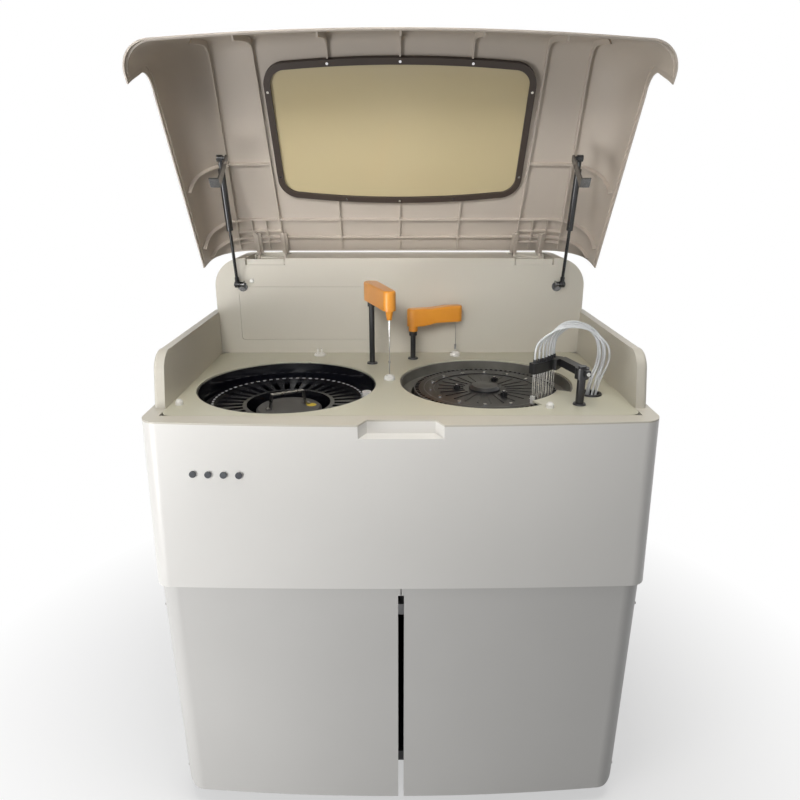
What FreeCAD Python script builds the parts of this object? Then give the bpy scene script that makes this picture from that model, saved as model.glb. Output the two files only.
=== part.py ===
import FreeCAD, Part
import math
import os

# Floor-standing chemistry analyzer with its lid held open by two gas struts.
# Sizes are millimetres. While a piece is modelled, x runs to the right, y runs back
# from the middle of the front face, and z runs up from the top of the deck.
# Each finished piece is then moved so that the origin is on the floor, below the
# middle of the cabinet.

Vector = FreeCAD.Vector
UP = Vector(0, 0, 1)

# cabinet
body_width = 900.0
body_depth = 650.0
deck_height = 850.0
joint_drop = 325.0
joint_arch = 8.0
joint_width = 916.0
skirt_drop = 814.0
skirt_width = 901.0
door_inset = 3.2
front_bow = 18.0
corner_radius = 34.0
door_corner_radius = 48.0
rim_thickness = 3.0
skin = 3.0
seam = 0.3
wrap_depth = 71.2
door_wrap_depth = 67.6
skirt_corner_radius = 28.0

# finger recess in the top of the front panel
recess_half_width = 76.0
recess_depth = 28.0
recess_height = 24.5
recess_slant = 17.0
top_flange_depth = 50.5

# deck
deck_front = 51.0
deck_back = 498.7
deck_half_width = 421.6
deck_thickness = 3.0
deck_skirt = 35.0
deck_corner_radius = 22.0
tub_flange = 7.0
tub_wall = 3.0

# back wall and side walls of the deck surround
wall_front = 499.0
wall_back = 647.0
wall_top = 221.0
wall_half_width = 425.0
wall_corner_radius = 65.0
wall_skin = 4.0
side_wall_inner = 421.9
side_wall_outer = 442.0
side_wall_top = 98.0
side_wall_front = 86.0

# lid, modelled closed and then turned open about its hinge
hinge_y = 600.0
hinge_z = 212.0
open_angle = 57.3
lid_half_width = 443.0
lid_bow = 15.0
lid_front = -8.0
lid_top = 241.0
lid_corner_radius = 85.0
lid_wall = 5.0
lid_lean = 0.395
edge_step = 2.4
edge_band = 8.0
rib_depth = 8.0
rib_thickness = 3.0
lip_z = 3.0
skirt_z = side_wall_top + 5.0
ear_tip_y = side_wall_front - 7.0
lid_rear_low = 542.0
lid_rear_high = 606.0

# window in the lid
window_front = 135.0
window_back = 456.0
window_half_width = 268.0
window_radius = 46.0
window_bow_front = 10.0
window_bow_back = 13.0
gasket_width = 13.0
pane_thickness = 4.0

# carousels
reagent_x = -226.0
reagent_y = 238.0
reagent_hole = 177.0
reaction_x = 173.0
reaction_y = 260.0
reaction_hole = 174.0
guard_radius = 147.0
guard_start = -60.5
guard_end = -25.0
sample_ring = 158.0
sample_places = 32
cuvette_places = 80

# probe arm and stirrer arm
probe_post_x = -62.0
probe_post_y = 400.0
probe_reach = 134.0
probe_rest_angle = -72.7
probe_arm_bottom = 143.0
probe_arm_height = 40.0
stirrer_post_x = 30.0
stirrer_post_y = 441.0
stirrer_rest_angle = 15.5
stirrer_arm_bottom = 77.0
stirrer_arm_height = 42.0
stirrer_steps_on = 8
post_radius = 6.0
bush_radius = 12.0
bush_height = 3.0
running_gap = 0.1

# wash station
wash_post_x = 326.5
wash_post_y = 109.0
wash_top = 73.0
wash_post_radius = 7.5
wash_stations = 7
wash_first_step = 40

# gas struts
strut_x = 371.0
strut_wall_y = 488.0
strut_wall_z = 163.0
strut_lid_y = 314.0
strut_lid_z = 175.0
strut_radius = 7.0
strut_rod_radius = 3.5
strut_eye_radius = 7.0
strut_pin_radius = 3.0
strut_cylinder_length = 130.0

parts_folder = "parts"
os.makedirs(parts_folder, exist_ok=True)


def box(x0, x1, y0, y1, z0, z1):
    return Part.makeBox(x1 - x0, y1 - y0, z1 - z0, Vector(x0, y0, z0))


def cylinder(x, y, z0, z1, radius):
    return Part.makeCylinder(radius, z1 - z0, Vector(x, y, z0), UP)


def fuse_all(shapes):
    first = shapes[0]
    if len(shapes) == 1:
        return first
    return first.multiFuse(shapes[1:]).removeSplitter()


def mirrored(shape):
    return shape.mirror(Vector(0, 0, 0), Vector(1, 0, 0))


def both_sides(shape):
    return Part.makeCompound([shape, mirrored(shape)])


def on_circle(x, y, radius, angle):
    a = math.radians(angle)
    return Vector(x + radius * math.cos(a), y + radius * math.sin(a), 0)


def save(name, shape):
    moved = shape.translated(Vector(0, -body_depth / 2, deck_height))
    moved.exportStep(os.path.join(parts_folder, name + ".step"))


def opened(shape):
    turned = shape.copy()
    turned.rotate(Vector(0, hinge_y, hinge_z), Vector(1, 0, 0), -open_angle)
    return turned


def rounded_rectangle(x0, x1, y0, y1, radius, z):
    k = radius * (1 - math.sqrt(0.5))
    edges = [
        Part.makeLine(Vector(x0 + radius, y0, z), Vector(x1 - radius, y0, z)),
        Part.Arc(Vector(x1 - radius, y0, z), Vector(x1 - k, y0 + k, z),
                 Vector(x1, y0 + radius, z)).toShape(),
        Part.makeLine(Vector(x1, y0 + radius, z), Vector(x1, y1 - radius, z)),
        Part.Arc(Vector(x1, y1 - radius, z), Vector(x1 - k, y1 - k, z),
                 Vector(x1 - radius, y1, z)).toShape(),
        Part.makeLine(Vector(x1 - radius, y1, z), Vector(x0 + radius, y1, z)),
        Part.Arc(Vector(x0 + radius, y1, z), Vector(x0 + k, y1 - k, z),
                 Vector(x0, y1 - radius, z)).toShape(),
        Part.makeLine(Vector(x0, y1 - radius, z), Vector(x0, y0 + radius, z)),
        Part.Arc(Vector(x0, y0 + radius, z), Vector(x0 + k, y0 + k, z),
                 Vector(x0 + radius, y0, z)).toShape(),
    ]
    return Part.Wire(edges)


def rounded_plate(x0, x1, y0, y1, radius, z0, z1):
    face = Part.Face(rounded_rectangle(x0, x1, y0, y1, radius, z0))
    return face.extrude(Vector(0, 0, z1 - z0))


def plan_outline(half_width, front, back, radius, bow, z):
    """A closed outline seen from above: bowed front, round corners, square back."""
    k = radius * (1 - math.sqrt(0.5))
    w = half_width
    f = front + bow
    edges = [
        Part.Arc(Vector(-w + radius, f, z), Vector(0, front, z), Vector(w - radius, f, z)).toShape(),
        Part.Arc(Vector(w - radius, f, z), Vector(w - k, f + k, z), Vector(w, f + radius, z)).toShape(),
        Part.makeLine(Vector(w, f + radius, z), Vector(w, back, z)),
        Part.makeLine(Vector(w, back, z), Vector(-w, back, z)),
        Part.makeLine(Vector(-w, back, z), Vector(-w, f + radius, z)),
        Part.Arc(Vector(-w, f + radius, z), Vector(-w + k, f + k, z), Vector(-w + radius, f, z)).toShape(),
    ]
    return Part.Wire(edges)


def prism_x(points, x0, x1):
    """A solid from a closed outline of (y, z) points, running along x."""
    corners = [Vector(x0, y, z) for y, z in points]
    face = Part.Face(Part.makePolygon(corners + corners[:1]))
    return face.extrude(Vector(x1 - x0, 0, 0))


def prism_y(points, y0, y1):
    """A solid from a closed outline of (x, z) points, running along y."""
    corners = [Vector(x, y0, z) for x, z in points]
    face = Part.Face(Part.makePolygon(corners + corners[:1]))
    return face.extrude(Vector(0, y1 - y0, 0))


def prism_z(points, z0, z1):
    """A solid from a closed outline of (x, y) points, running up."""
    corners = [Vector(x, y, z0) for x, y in points]
    face = Part.Face(Part.makePolygon(corners + corners[:1]))
    return face.extrude(Vector(0, 0, z1 - z0))


def turned_solid(points, x, y):
    """A solid of revolution about an upright line, from (radius, z) points."""
    corners = [Vector(r, 0, z) for r, z in points]
    face = Part.Face(Part.makePolygon(corners + corners[:1]))
    solid = face.revolve(Vector(0, 0, 0), UP, 360)
    return solid.translated(Vector(x, y, 0))


# front skin
def half_width_at(z):
    """Half of the body's width: it widens down to the joint and narrows below it."""
    if z >= -joint_drop:
        return (body_width + (joint_width - body_width) * -z / joint_drop) / 2
    below = (-joint_drop - z) / (skirt_drop - joint_drop)
    return (joint_width + (skirt_width - joint_width) * below) / 2


def front_loft(z_top, z_low, inset, back, radius):
    wires = []
    for z in (z_top, z_low):
        wires.append(plan_outline(half_width_at(z) - inset, inset, back,
                                  radius - inset, front_bow, z))
    return Part.makeLoft(wires, True, True)


def deck_opening(z0, z1):
    """The rectangle that the rim and the front panel leave free for the deck."""
    w = deck_half_width + 0.4
    return box(-w, w, top_flange_depth, wrap_depth + 1, z0, z1)


def recess_prism(grow, z0, z1):
    """The finger recess in plan: its side walls draw in towards the back."""
    a = recess_half_width + grow
    b = recess_half_width - recess_slant + grow
    front = -5 if grow == 0 else 1
    return prism_z([(-a, front), (a, front), (b, recess_depth + grow), (-b, recess_depth + grow)], z0, z1)


def arched_block(side_gap, middle_gap):
    """Everything above the arched joint line between the front panel and the doors."""
    reach = joint_width
    z_side = -joint_drop - side_gap
    arc = Part.Arc(Vector(-reach / 2, 0, z_side), Vector(0, 0, joint_arch - joint_drop - middle_gap),
                   Vector(reach / 2, 0, z_side)).toShape()
    up = 400.0
    edges = [
        arc,
        Part.makeLine(Vector(reach / 2, 0, z_side), Vector(reach / 2, 0, up)),
        Part.makeLine(Vector(reach / 2, 0, up), Vector(-reach / 2, 0, up)),
        Part.makeLine(Vector(-reach / 2, 0, up), Vector(-reach / 2, 0, z_side)),
    ]
    face = Part.Face(Part.Wire(edges))
    face.translate(Vector(0, -50, 0))
    return face.extrude(Vector(0, 300, 0))


def make_upper_front_panel():
    z_low = -joint_drop - 1
    top = -rim_thickness
    outer = front_loft(top, z_low, 0, wrap_depth, corner_radius)
    inner = front_loft(top - skin, z_low - 1, skin, wrap_depth + 1, corner_radius)
    shell = outer.cut(inner).cut(deck_opening(top - skin - 1, 1)).common(arched_block(0, 0))
    liner = recess_prism(skin, -recess_height - skin, top)
    liner = liner.common(front_loft(top, z_low, 0, wrap_depth, corner_radius))
    panel = shell.fuse(liner).cut(recess_prism(0, -recess_height, 1))
    for x in light_places():
        panel = panel.cut(light_hole(x))
    return panel.removeSplitter()


indicator_first_x = -361.0
indicator_pitch = 27.0
indicator_count = 4
indicator_z = -94.0
indicator_radius = 4.0
indicator_rim = 6.0


def light_places():
    return [indicator_first_x + indicator_pitch * i for i in range(indicator_count)]


def front_face_y(x):
    """How far back the bowed front face lies at a given x."""
    half = body_width / 2 - corner_radius
    return front_bow * (x / half) ** 2


def light_hole(x):
    return Part.makeCylinder(indicator_radius + 0.3, 30, Vector(x, -5, indicator_z), Vector(0, 1, 0))


def make_indicator_lights():
    lamps = []
    for x in light_places():
        y = front_face_y(x)
        rim = Part.makeCylinder(indicator_rim, 2.5, Vector(x, y - 3.3, indicator_z), Vector(0, 1, 0))
        stem = Part.makeCylinder(indicator_radius, 16, Vector(x, y - 3, indicator_z), Vector(0, 1, 0))
        lamps.append(rim.fuse(stem).removeSplitter())
    return Part.makeCompound(lamps)


hinge_pin_x = 438.5
hinge_pin_y = 56.0
hinge_pin_radius = 2.5
door_top_gap_side = 2.2
door_top_gap_middle = 1.2
door_top_lug = -386.0
door_low_lug = -780.0
lug_thickness = 4.0
door_slot_half = 5.5
door_gap_half = 0.8
door_slot_top = -joint_drop + joint_arch - 17.0


def make_right_door():
    z_top = -joint_drop + joint_arch + 5
    outer = front_loft(z_top, -skirt_drop, door_inset, door_wrap_depth, door_corner_radius)
    inner = front_loft(z_top + 1, -skirt_drop - 1, door_inset + skin, door_wrap_depth + 1,
                       door_corner_radius)
    door = outer.cut(inner).cut(arched_block(door_top_gap_side, door_top_gap_middle))
    door = door.cut(box(-500, door_gap_half, -5, 100, -900, 0))
    door = door.cut(box(-500, door_slot_half, -5, 100, -900, door_slot_top))
    edge_y = skin + door_inset - 0.2
    stile = box(door_slot_half, door_slot_half + skin, edge_y, edge_y + 16, -skirt_drop + 4, door_slot_top)
    door = door.fuse(stile)
    low = -skirt_drop
    r = skirt_corner_radius
    w = skirt_width / 2 - door_inset
    corner = box(w - r, w + 5, -5, 100, low - 1, low + r)
    corner = corner.cut(Part.makeCylinder(r, 110, Vector(w - r, -6, low + r), Vector(0, 1, 0)))
    door = door.cut(corner)
    for z in (door_top_lug, door_low_lug):
        reach = half_width_at(z) - door_inset - skin / 2
        ear = box(hinge_pin_x - 6, reach, hinge_pin_y - 6, hinge_pin_y + 3, z, z + lug_thickness)
        door = door.fuse(ear)
        door = door.cut(cylinder(hinge_pin_x, hinge_pin_y, z - 1, z + lug_thickness + 1,
                                 hinge_pin_radius + 0.05))
    return door.removeSplitter()


def make_side_panel():
    top = body_width / 2
    mid = joint_width / 2
    low_mid = mid - door_inset
    low = skirt_width / 2 - door_inset
    z_low = -skirt_drop
    high = -rim_thickness
    points = [
        (top, high), (mid, -joint_drop), (low_mid, -joint_drop - 1), (low, z_low),
        (low - skin, z_low), (low_mid - skin, -joint_drop - 1), (mid - skin, -joint_drop),
        (top - skin, high - skin), (side_wall_inner, high - skin), (side_wall_inner, high),
    ]
    return prism_y(points, wrap_depth + seam, body_depth - 1.0)


rear_panel_y = body_depth - 1.0 - skin
inlet_x = 300.0
inlet_z = -700.0


def make_rear_panel():
    middle_half = side_wall_inner - seam
    shoulder = rim_thickness + skin + seam
    points = [
        (-440, -shoulder), (-middle_half, -shoulder), (-middle_half, -seam), (middle_half, -seam),
        (middle_half, -shoulder), (440, -shoulder), (440, -joint_drop), (low_rear_half, -skirt_drop + 4),
        (-low_rear_half, -skirt_drop + 4), (-440, -joint_drop),
    ]
    panel = prism_y(points, rear_panel_y, rear_panel_y + skin)
    for row in range(8):
        z = -180 - 14 * row
        for x in (-240, 100):
            panel = panel.cut(box(x, x + 140, rear_panel_y - 1, rear_panel_y + skin + 1, z, z + 5))
    panel = panel.cut(box(inlet_x - 25, inlet_x + 25, rear_panel_y - 1, rear_panel_y + skin + 1,
                          inlet_z - 14, inlet_z + 14))
    return panel


low_rear_half = skirt_width / 2 - door_inset - skin - 1


def make_mains_inlet():
    body = box(inlet_x - 24.7, inlet_x + 24.7, rear_panel_y - 28, rear_panel_y + skin, inlet_z - 13.7, inlet_z + 13.7)
    flange = box(inlet_x - 32, inlet_x + 32, rear_panel_y - 2.3, rear_panel_y - 0.3, inlet_z - 17, inlet_z + 17)
    socket = box(inlet_x - 12, inlet_x + 12, rear_panel_y - 16, rear_panel_y + skin + 1, inlet_z - 8, inlet_z + 8)
    inlet = body.fuse(flange).cut(socket)
    for x in (-6, 0, 6):
        blade = box(inlet_x + x - 1, inlet_x + x + 1, rear_panel_y - 16, rear_panel_y - 4, inlet_z - 3, inlet_z + 3)
        inlet = inlet.fuse(blade)
    return inlet.removeSplitter()


# frame
tube = 30.0
frame_front = wrap_depth + 9.0
frame_back = rear_panel_y - seam
frame_top = -deck_skirt
frame_low = -800.0
shelf_z = -430.0
upright_outer = 436.0


def make_base_frame():
    """Square tubes, rails and hinge lugs, each butted against its neighbours and welded."""
    members = []
    outer = body_width / 2 - skin - seam
    inner = upright_outer - tube
    top0 = frame_top - 25
    low1 = frame_low + 25
    front = deck_front + 3.5
    for side in (-1, 1):
        x0, x1 = sorted((side * outer, side * (outer - tube)))
        members.append(box(x0, x1, frame_front, frame_back, top0, frame_top))
        u0, u1 = sorted((side * upright_outer, side * inner))
        for y in (frame_front, frame_back - tube):
            members.append(box(u0, u1, y, y + tube, low1, top0))
        members.append(box(u0, u1, frame_front, frame_back, frame_low, low1))
        members.append(box(u0, u1, frame_front + tube, frame_back - tube, shelf_z - 25, shelf_z))
        for z in (door_top_lug, door_low_lug):
            low = z - lug_thickness - 0.3
            s0, s1 = sorted((side * 394, side * 410))
            members.append(box(s0, s1, hinge_pin_y + 2.5, frame_front, low, low + lug_thickness))
            l0, l1 = sorted((side * 394, side * (hinge_pin_x + 2.5)))
            members.append(box(l0, l1, hinge_pin_y - 3, hinge_pin_y + 2.5, low, low + lug_thickness))
        e0, e1 = sorted((side * 416, side * upright_outer))
        members.append(box(e0, e1, front + 5, frame_front, top0, frame_top))
    rail = outer - tube
    members.append(box(-inner, inner, frame_back - tube, frame_back, frame_low, low1))
    members.append(box(-rail, rail, frame_back - tube, frame_back, top0, frame_top))
    members.append(box(-inner, inner, frame_front, frame_front + tube, frame_low, low1))
    members.append(box(-upright_outer, upright_outer, front, front + 5, top0, frame_top))
    return Part.makeCompound(members)


def make_door_hinge_pins():
    pins = []
    for z in (door_top_lug, door_low_lug):
        pin = cylinder(hinge_pin_x, hinge_pin_y, z - 0.3, z + lug_thickness + 2, hinge_pin_radius)
        pins.append(pin)
        pins.append(mirrored(pin))
    return Part.makeCompound(pins)


def make_bottom_pan():
    x = upright_outer - tube - 0.3
    y0 = frame_front + tube + 0.3
    y1 = frame_back - tube - 0.3
    floor = box(-x - 20, x + 20, y0 - 20, y1 + 20, frame_low + 25, frame_low + 27)
    cuts = []
    for sx in (-1, 1):
        for yc in (y0 - 21, y1):
            x0, x1 = sorted((sx * x, sx * (x + 21)))
            cuts.append(box(x0, x1, yc, yc + 21, frame_low + 20, frame_low + 30))
    for c in cuts:
        floor = floor.cut(c)
    return floor


def make_equipment_shelf():
    x = upright_outer - 2
    y0 = frame_front + tube + 0.5
    y1 = frame_back - tube - 0.5
    plate = box(-x, x, y0, y1, shelf_z, shelf_z + 2.5)
    plate = plate.fuse(box(-x + tube, x - tube, y0, y0 + 2.5, shelf_z - 22, shelf_z))
    for i in range(3):
        plate = plate.cut(cylinder(-250 + 250 * i, y1 - 30, shelf_z - 1, shelf_z + 4, 22))
    return plate.removeSplitter()


def make_levelling_feet():
    feet = []
    floor = -deck_height
    for side in (-1, 1):
        for y in (frame_front + tube / 2, frame_back - tube / 2):
            x = side * (upright_outer - tube / 2)
            feet.append(turned_solid([(0, floor), (24, floor), (24, floor + 8), (10, floor + 16),
                                      (6, floor + 16), (6, frame_low), (0, frame_low)], x, y))
    return Part.makeCompound(feet)


# deck
def guard_sector(z0, z1):
    """The part of the deck that reaches in over the reaction carousel."""
    outer = reaction_hole + 6
    a = on_circle(reaction_x, reaction_y, guard_radius, guard_start)
    b = on_circle(reaction_x, reaction_y, guard_radius, (guard_start + guard_end) / 2)
    c = on_circle(reaction_x, reaction_y, guard_radius, guard_end)
    d = on_circle(reaction_x, reaction_y, outer, guard_end)
    m = on_circle(reaction_x, reaction_y, outer, (guard_start + guard_end) / 2)
    e = on_circle(reaction_x, reaction_y, outer, guard_start)
    wire = Part.Wire([Part.Arc(a, b, c).toShape(), Part.makeLine(c, d),
                      Part.Arc(d, m, e).toShape(), Part.makeLine(e, a)])
    sector = Part.Face(wire).extrude(Vector(0, 0, z1 - z0))
    sector.translate(Vector(0, 0, z0))
    return sector


def cuvette_radius():
    """The probe's reach ends on the ring of cuvettes, on the line between the two axes."""
    gap = math.hypot(reaction_x - probe_post_x, reaction_y - probe_post_y)
    return gap - probe_reach


def first_cuvette_angle():
    """The direction from the reaction carousel to the probe's post."""
    return math.degrees(math.atan2(probe_post_y - reaction_y, probe_post_x - reaction_x))


def cuvette_angle(step):
    return first_cuvette_angle() - 360.0 / cuvette_places * step


def probe_well():
    return on_circle(probe_post_x, probe_post_y, probe_reach, probe_rest_angle)


def stirrer_station():
    return on_circle(reaction_x, reaction_y, cuvette_radius(), cuvette_angle(stirrer_steps_on))


def stirrer_reach():
    p = stirrer_station()
    return math.hypot(p.x - stirrer_post_x, p.y - stirrer_post_y)


def stirrer_well():
    return on_circle(stirrer_post_x, stirrer_post_y, stirrer_reach(), stirrer_rest_angle)


def sample_angle():
    """Where the probe meets the ring of sample tubes, seen from the reagent carousel."""
    dx = reagent_x - probe_post_x
    dy = reagent_y - probe_post_y
    gap = math.hypot(dx, dy)
    toward = math.degrees(math.atan2(dy, dx))
    part = (gap ** 2 + probe_reach ** 2 - sample_ring ** 2) / (2 * gap * probe_reach)
    meet = on_circle(probe_post_x, probe_post_y, probe_reach, toward + math.degrees(math.acos(part)))
    return math.degrees(math.atan2(meet.y - reagent_y, meet.x - reagent_x))


well_radius = 9.0
well_rim_radius = 11.5
well_bore = 5.0
well_depth = 62.0
clip_well_x = -187.0
clip_well_y = 471.0
tube_hole_x = 363.5
tube_hole_y = 172.0
tube_hole_radius = 17.0
bumper_left = (-405.0, 112.0)
bumper_right = (269.0, 92.0)


def make_deck_plate():
    w = deck_half_width
    y0 = deck_front
    y1 = deck_back
    top = rounded_plate(-w, w, y0, y1, deck_corner_radius, -deck_skirt, 0)
    inside = rounded_plate(-w + 2.5, w - 2.5, y0 + 2.5, y1 - 2.5, deck_corner_radius - 2.5,
                           -deck_skirt - 1, -deck_thickness)
    plate = top.cut(inside)
    holes = [cylinder(reagent_x, reagent_y, -10, 1, reagent_hole)]
    holes.append(cylinder(reaction_x, reaction_y, -10, 1, reaction_hole).cut(guard_sector(-11, 2)))
    notch = on_circle(reagent_x, reagent_y, reagent_hole, 83)
    holes.append(cylinder(notch.x, notch.y, -10, 1, 4))
    for x, y in ((probe_post_x, probe_post_y), (stirrer_post_x, stirrer_post_y)):
        holes.append(cylinder(x, y, -10, 1, post_radius + 2.3))
    holes.append(cylinder(wash_post_x, wash_post_y, -10, 1, wash_post_radius + 2.3))
    for well in (probe_well(), stirrer_well(), Vector(clip_well_x, clip_well_y, 0)):
        holes.append(cylinder(well.x, well.y, -10, 1, well_radius + 0.3))
    holes.append(cylinder(tube_hole_x, tube_hole_y, -10, 1, tube_hole_radius + 2.3))
    for hole in holes:
        plate = plate.cut(hole)
    return plate


def make_well(x, y):
    points = [(well_bore, 7), (well_rim_radius - 3, 9), (well_rim_radius, 5), (well_rim_radius, 0.3),
              (well_radius, 0.3), (well_radius, -well_depth - 3), (0, -well_depth - 3),
              (0, -well_depth), (well_bore, -well_depth)]
    return turned_solid(points, x, y)


def make_clip_well():
    well = turned_solid([(0, -3), (well_radius, -3), (well_radius, 0.3), (13, 0.3), (13, 4), (10, 6), (0, 6)],
                        clip_well_x, clip_well_y)
    jaw = box(clip_well_x - 6, clip_well_x - 3, clip_well_y - 5, clip_well_y + 5, 5, 16)
    jaw = jaw.fuse(box(clip_well_x + 3, clip_well_x + 6, clip_well_y - 5, clip_well_y + 5, 5, 16))
    return well.fuse(jaw).removeSplitter()


def post_bush(x, y, radius):
    return turned_solid([(radius + running_gap, -14), (radius + 2, -14), (radius + 2, 0.3),
                         (bush_radius, 0.3), (bush_radius - 1, bush_height),
                         (radius + running_gap, bush_height)], x, y)


def make_post_bushes():
    return Part.makeCompound([
        post_bush(probe_post_x, probe_post_y, post_radius),
        post_bush(stirrer_post_x, stirrer_post_y, post_radius),
        post_bush(wash_post_x, wash_post_y, wash_post_radius)])


def make_tube_grommet():
    r = tube_hole_radius
    return turned_solid([(r, -10), (r + 2, -10), (r + 2, 0.3), (r + 5, 0.3), (r + 4, 3), (r, 3)],
                        tube_hole_x, tube_hole_y)


def make_lid_bumpers():
    dome = [(0, 0), (7, 0), (7, 6), (4, 10), (0, 10)]
    bumpers = [turned_solid(dome, x, y) for x, y in (bumper_left, bumper_right)]
    wall = turned_solid([(0, 0), (5, 0), (5, 2), (3, 4), (0, 4)], 0, 0)
    wall.rotate(Vector(0, 0, 0), Vector(1, 0, 0), 90)
    wall.translate(Vector(-340, wall_front, 170))
    bumpers.append(wall)
    return Part.makeCompound(bumpers)


wall_round = 7.0


# surround
def side_wall_outline(offset, z_low):
    y0 = side_wall_front + offset
    top = side_wall_top - offset
    y1 = wall_front + 30 - offset
    start = Vector(0, y0, z_low)
    corner = 34.0
    edges = [
        Part.makeLine(start, Vector(0, y0 + 2, 14)),
        Part.makeLine(Vector(0, y0 + 2, 14), Vector(0, y0 + 14, top - corner)),
        Part.Arc(Vector(0, y0 + 14, top - corner), Vector(0, y0 + 27, top - corner * 0.28),
                 Vector(0, y0 + 62, top)).toShape(),
        Part.makeLine(Vector(0, y0 + 62, top), Vector(0, y1, top)),
        Part.makeLine(Vector(0, y1, top), Vector(0, y1, z_low)),
        Part.makeLine(Vector(0, y1, z_low), start),
    ]
    return Part.Face(Part.Wire(edges))


def hump_outline(offset, z_low, y):
    """The back wall seen from the front, with two large round top corners."""
    w = wall_half_width - offset
    top = wall_top - offset
    r = wall_corner_radius - offset
    k = r * (1 - math.sqrt(0.5))
    edges = [
        Part.makeLine(Vector(-w, y, z_low), Vector(w, y, z_low)),
        Part.makeLine(Vector(w, y, z_low), Vector(w, y, top - r)),
        Part.Arc(Vector(w, y, top - r), Vector(w - k, y, top - k), Vector(w - r, y, top)).toShape(),
        Part.makeLine(Vector(w - r, y, top), Vector(-w + r, y, top)),
        Part.Arc(Vector(-w + r, y, top), Vector(-w + k, y, top - k), Vector(-w, y, top - r)).toShape(),
        Part.makeLine(Vector(-w, y, top - r), Vector(-w, y, z_low)),
    ]
    return Part.Face(Part.Wire(edges))


panel_x0 = -371.0
panel_x1 = -37.0
panel_z0 = 33.0
panel_z1 = 156.0
panel_inset = 2.0
pocket_inner = 262.0
pocket_outer = 352.0
pocket_floor = 190.0
pocket_lip = 206.0


def upright_plate(x0, x1, z0, z1, radius, y0, y1):
    plate = rounded_plate(x0, x1, z0, z1, radius, 0, y1 - y0)
    plate.rotate(Vector(0, 0, 0), Vector(1, 0, 0), 90)
    plate.translate(Vector(0, y1, 0))
    return plate


def hinge_pocket():
    deep = box(pocket_inner, pocket_outer, wall_front + 8, wall_back - 25, pocket_floor, wall_top + 1)
    lip = box(pocket_inner, pocket_outer, wall_front - 1, wall_front + 9, pocket_lip, wall_top + 1)
    return deep.fuse(lip)


def hinge_pocket_liner():
    t = wall_skin
    deep = box(pocket_inner - t, pocket_outer + t, wall_front + 8 - t, wall_back - 25 + t,
               pocket_floor - t, wall_top)
    lip = box(pocket_inner - t, pocket_outer + t, wall_front, wall_front + 9 + t, pocket_lip - t, wall_top)
    return deep.fuse(lip)


def make_deck_surround():
    hump = hump_outline(0, 0, wall_front).extrude(Vector(0, wall_back - wall_front, 0))
    inside = hump_outline(wall_skin, -1, wall_front + wall_skin)
    inside = inside.extrude(Vector(0, wall_back - wall_front - 2 * wall_skin, 0))
    thickness = side_wall_outer - side_wall_inner
    wall = side_wall_outline(0, 0).extrude(Vector(thickness, 0, 0))
    wall.translate(Vector(side_wall_inner, 0, 0))
    crest = [e for e in wall.Edges if e.BoundBox.XMin > side_wall_outer - 1
             and e.BoundBox.YMin < wall_front and e.BoundBox.ZMax > 10]
    wall = wall.makeFillet(wall_round, crest)
    hollow = side_wall_outline(wall_skin, -1).extrude(Vector(thickness - 2 * wall_skin, 0, 0))
    hollow.translate(Vector(side_wall_inner + wall_skin, 0, 0))
    hollow = hollow.cut(box(400, 460, wall_front - 1, wall_back, -2, 300))
    frame = front_loft(0, -rim_thickness, 0, wrap_depth, corner_radius).cut(deck_opening(-rim_thickness - 1, 1))
    frame = frame.cut(recess_prism(0, -rim_thickness - 1, 1))
    strip = box(side_wall_inner, body_width / 2, wrap_depth - 1, body_depth - 1.0, -rim_thickness, 0)
    shell = hump.fuse([wall, mirrored(wall), frame, strip, mirrored(strip)])
    shell = shell.cut(inside).cut(hollow).cut(mirrored(hollow))
    for side in (1, -1):
        liner = hinge_pocket_liner()
        pocket = hinge_pocket()
        if side < 0:
            liner = mirrored(liner)
            pocket = mirrored(pocket)
        shell = shell.fuse(liner).cut(pocket)
    recess = upright_plate(panel_x0 - 0.8, panel_x1 + 0.8, panel_z0 - 0.8, panel_z1 + 0.8, 6.8,
                           wall_front - 1, wall_front + panel_inset)
    shell = shell.cut(recess)
    return shell.removeSplitter()


def make_wall_access_panel():
    return upright_plate(panel_x0, panel_x1, panel_z0, panel_z1, 6,
                         wall_front, wall_front + panel_inset - 0.2)


bracket_plate_x0 = strut_x - 15.0
bracket_plate_x1 = strut_x - 12.0


def make_wall_strut_bracket():
    y = strut_wall_y
    z = strut_wall_z
    foot = Part.makeCylinder(11, 2.5, Vector(bracket_plate_x0 + 6, wall_front - 2.5, z - 6), Vector(0, 1, 0))
    plate = box(bracket_plate_x0, bracket_plate_x1, y, wall_front, z - 12, z + 7)
    nose = Part.makeCylinder(7, 3, Vector(bracket_plate_x0, y, z), Vector(1, 0, 0))
    plate = plate.fuse(nose)
    pin = Part.makeCylinder(strut_pin_radius, strut_x + 8 - bracket_plate_x0,
                            Vector(bracket_plate_x0, y, z), Vector(1, 0, 0))
    return fuse_all([foot, plate, pin])


arm_in = 274.0
arm_out = 336.0
arm_thickness = 4.0
axis_pin_radius = 4.0


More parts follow.
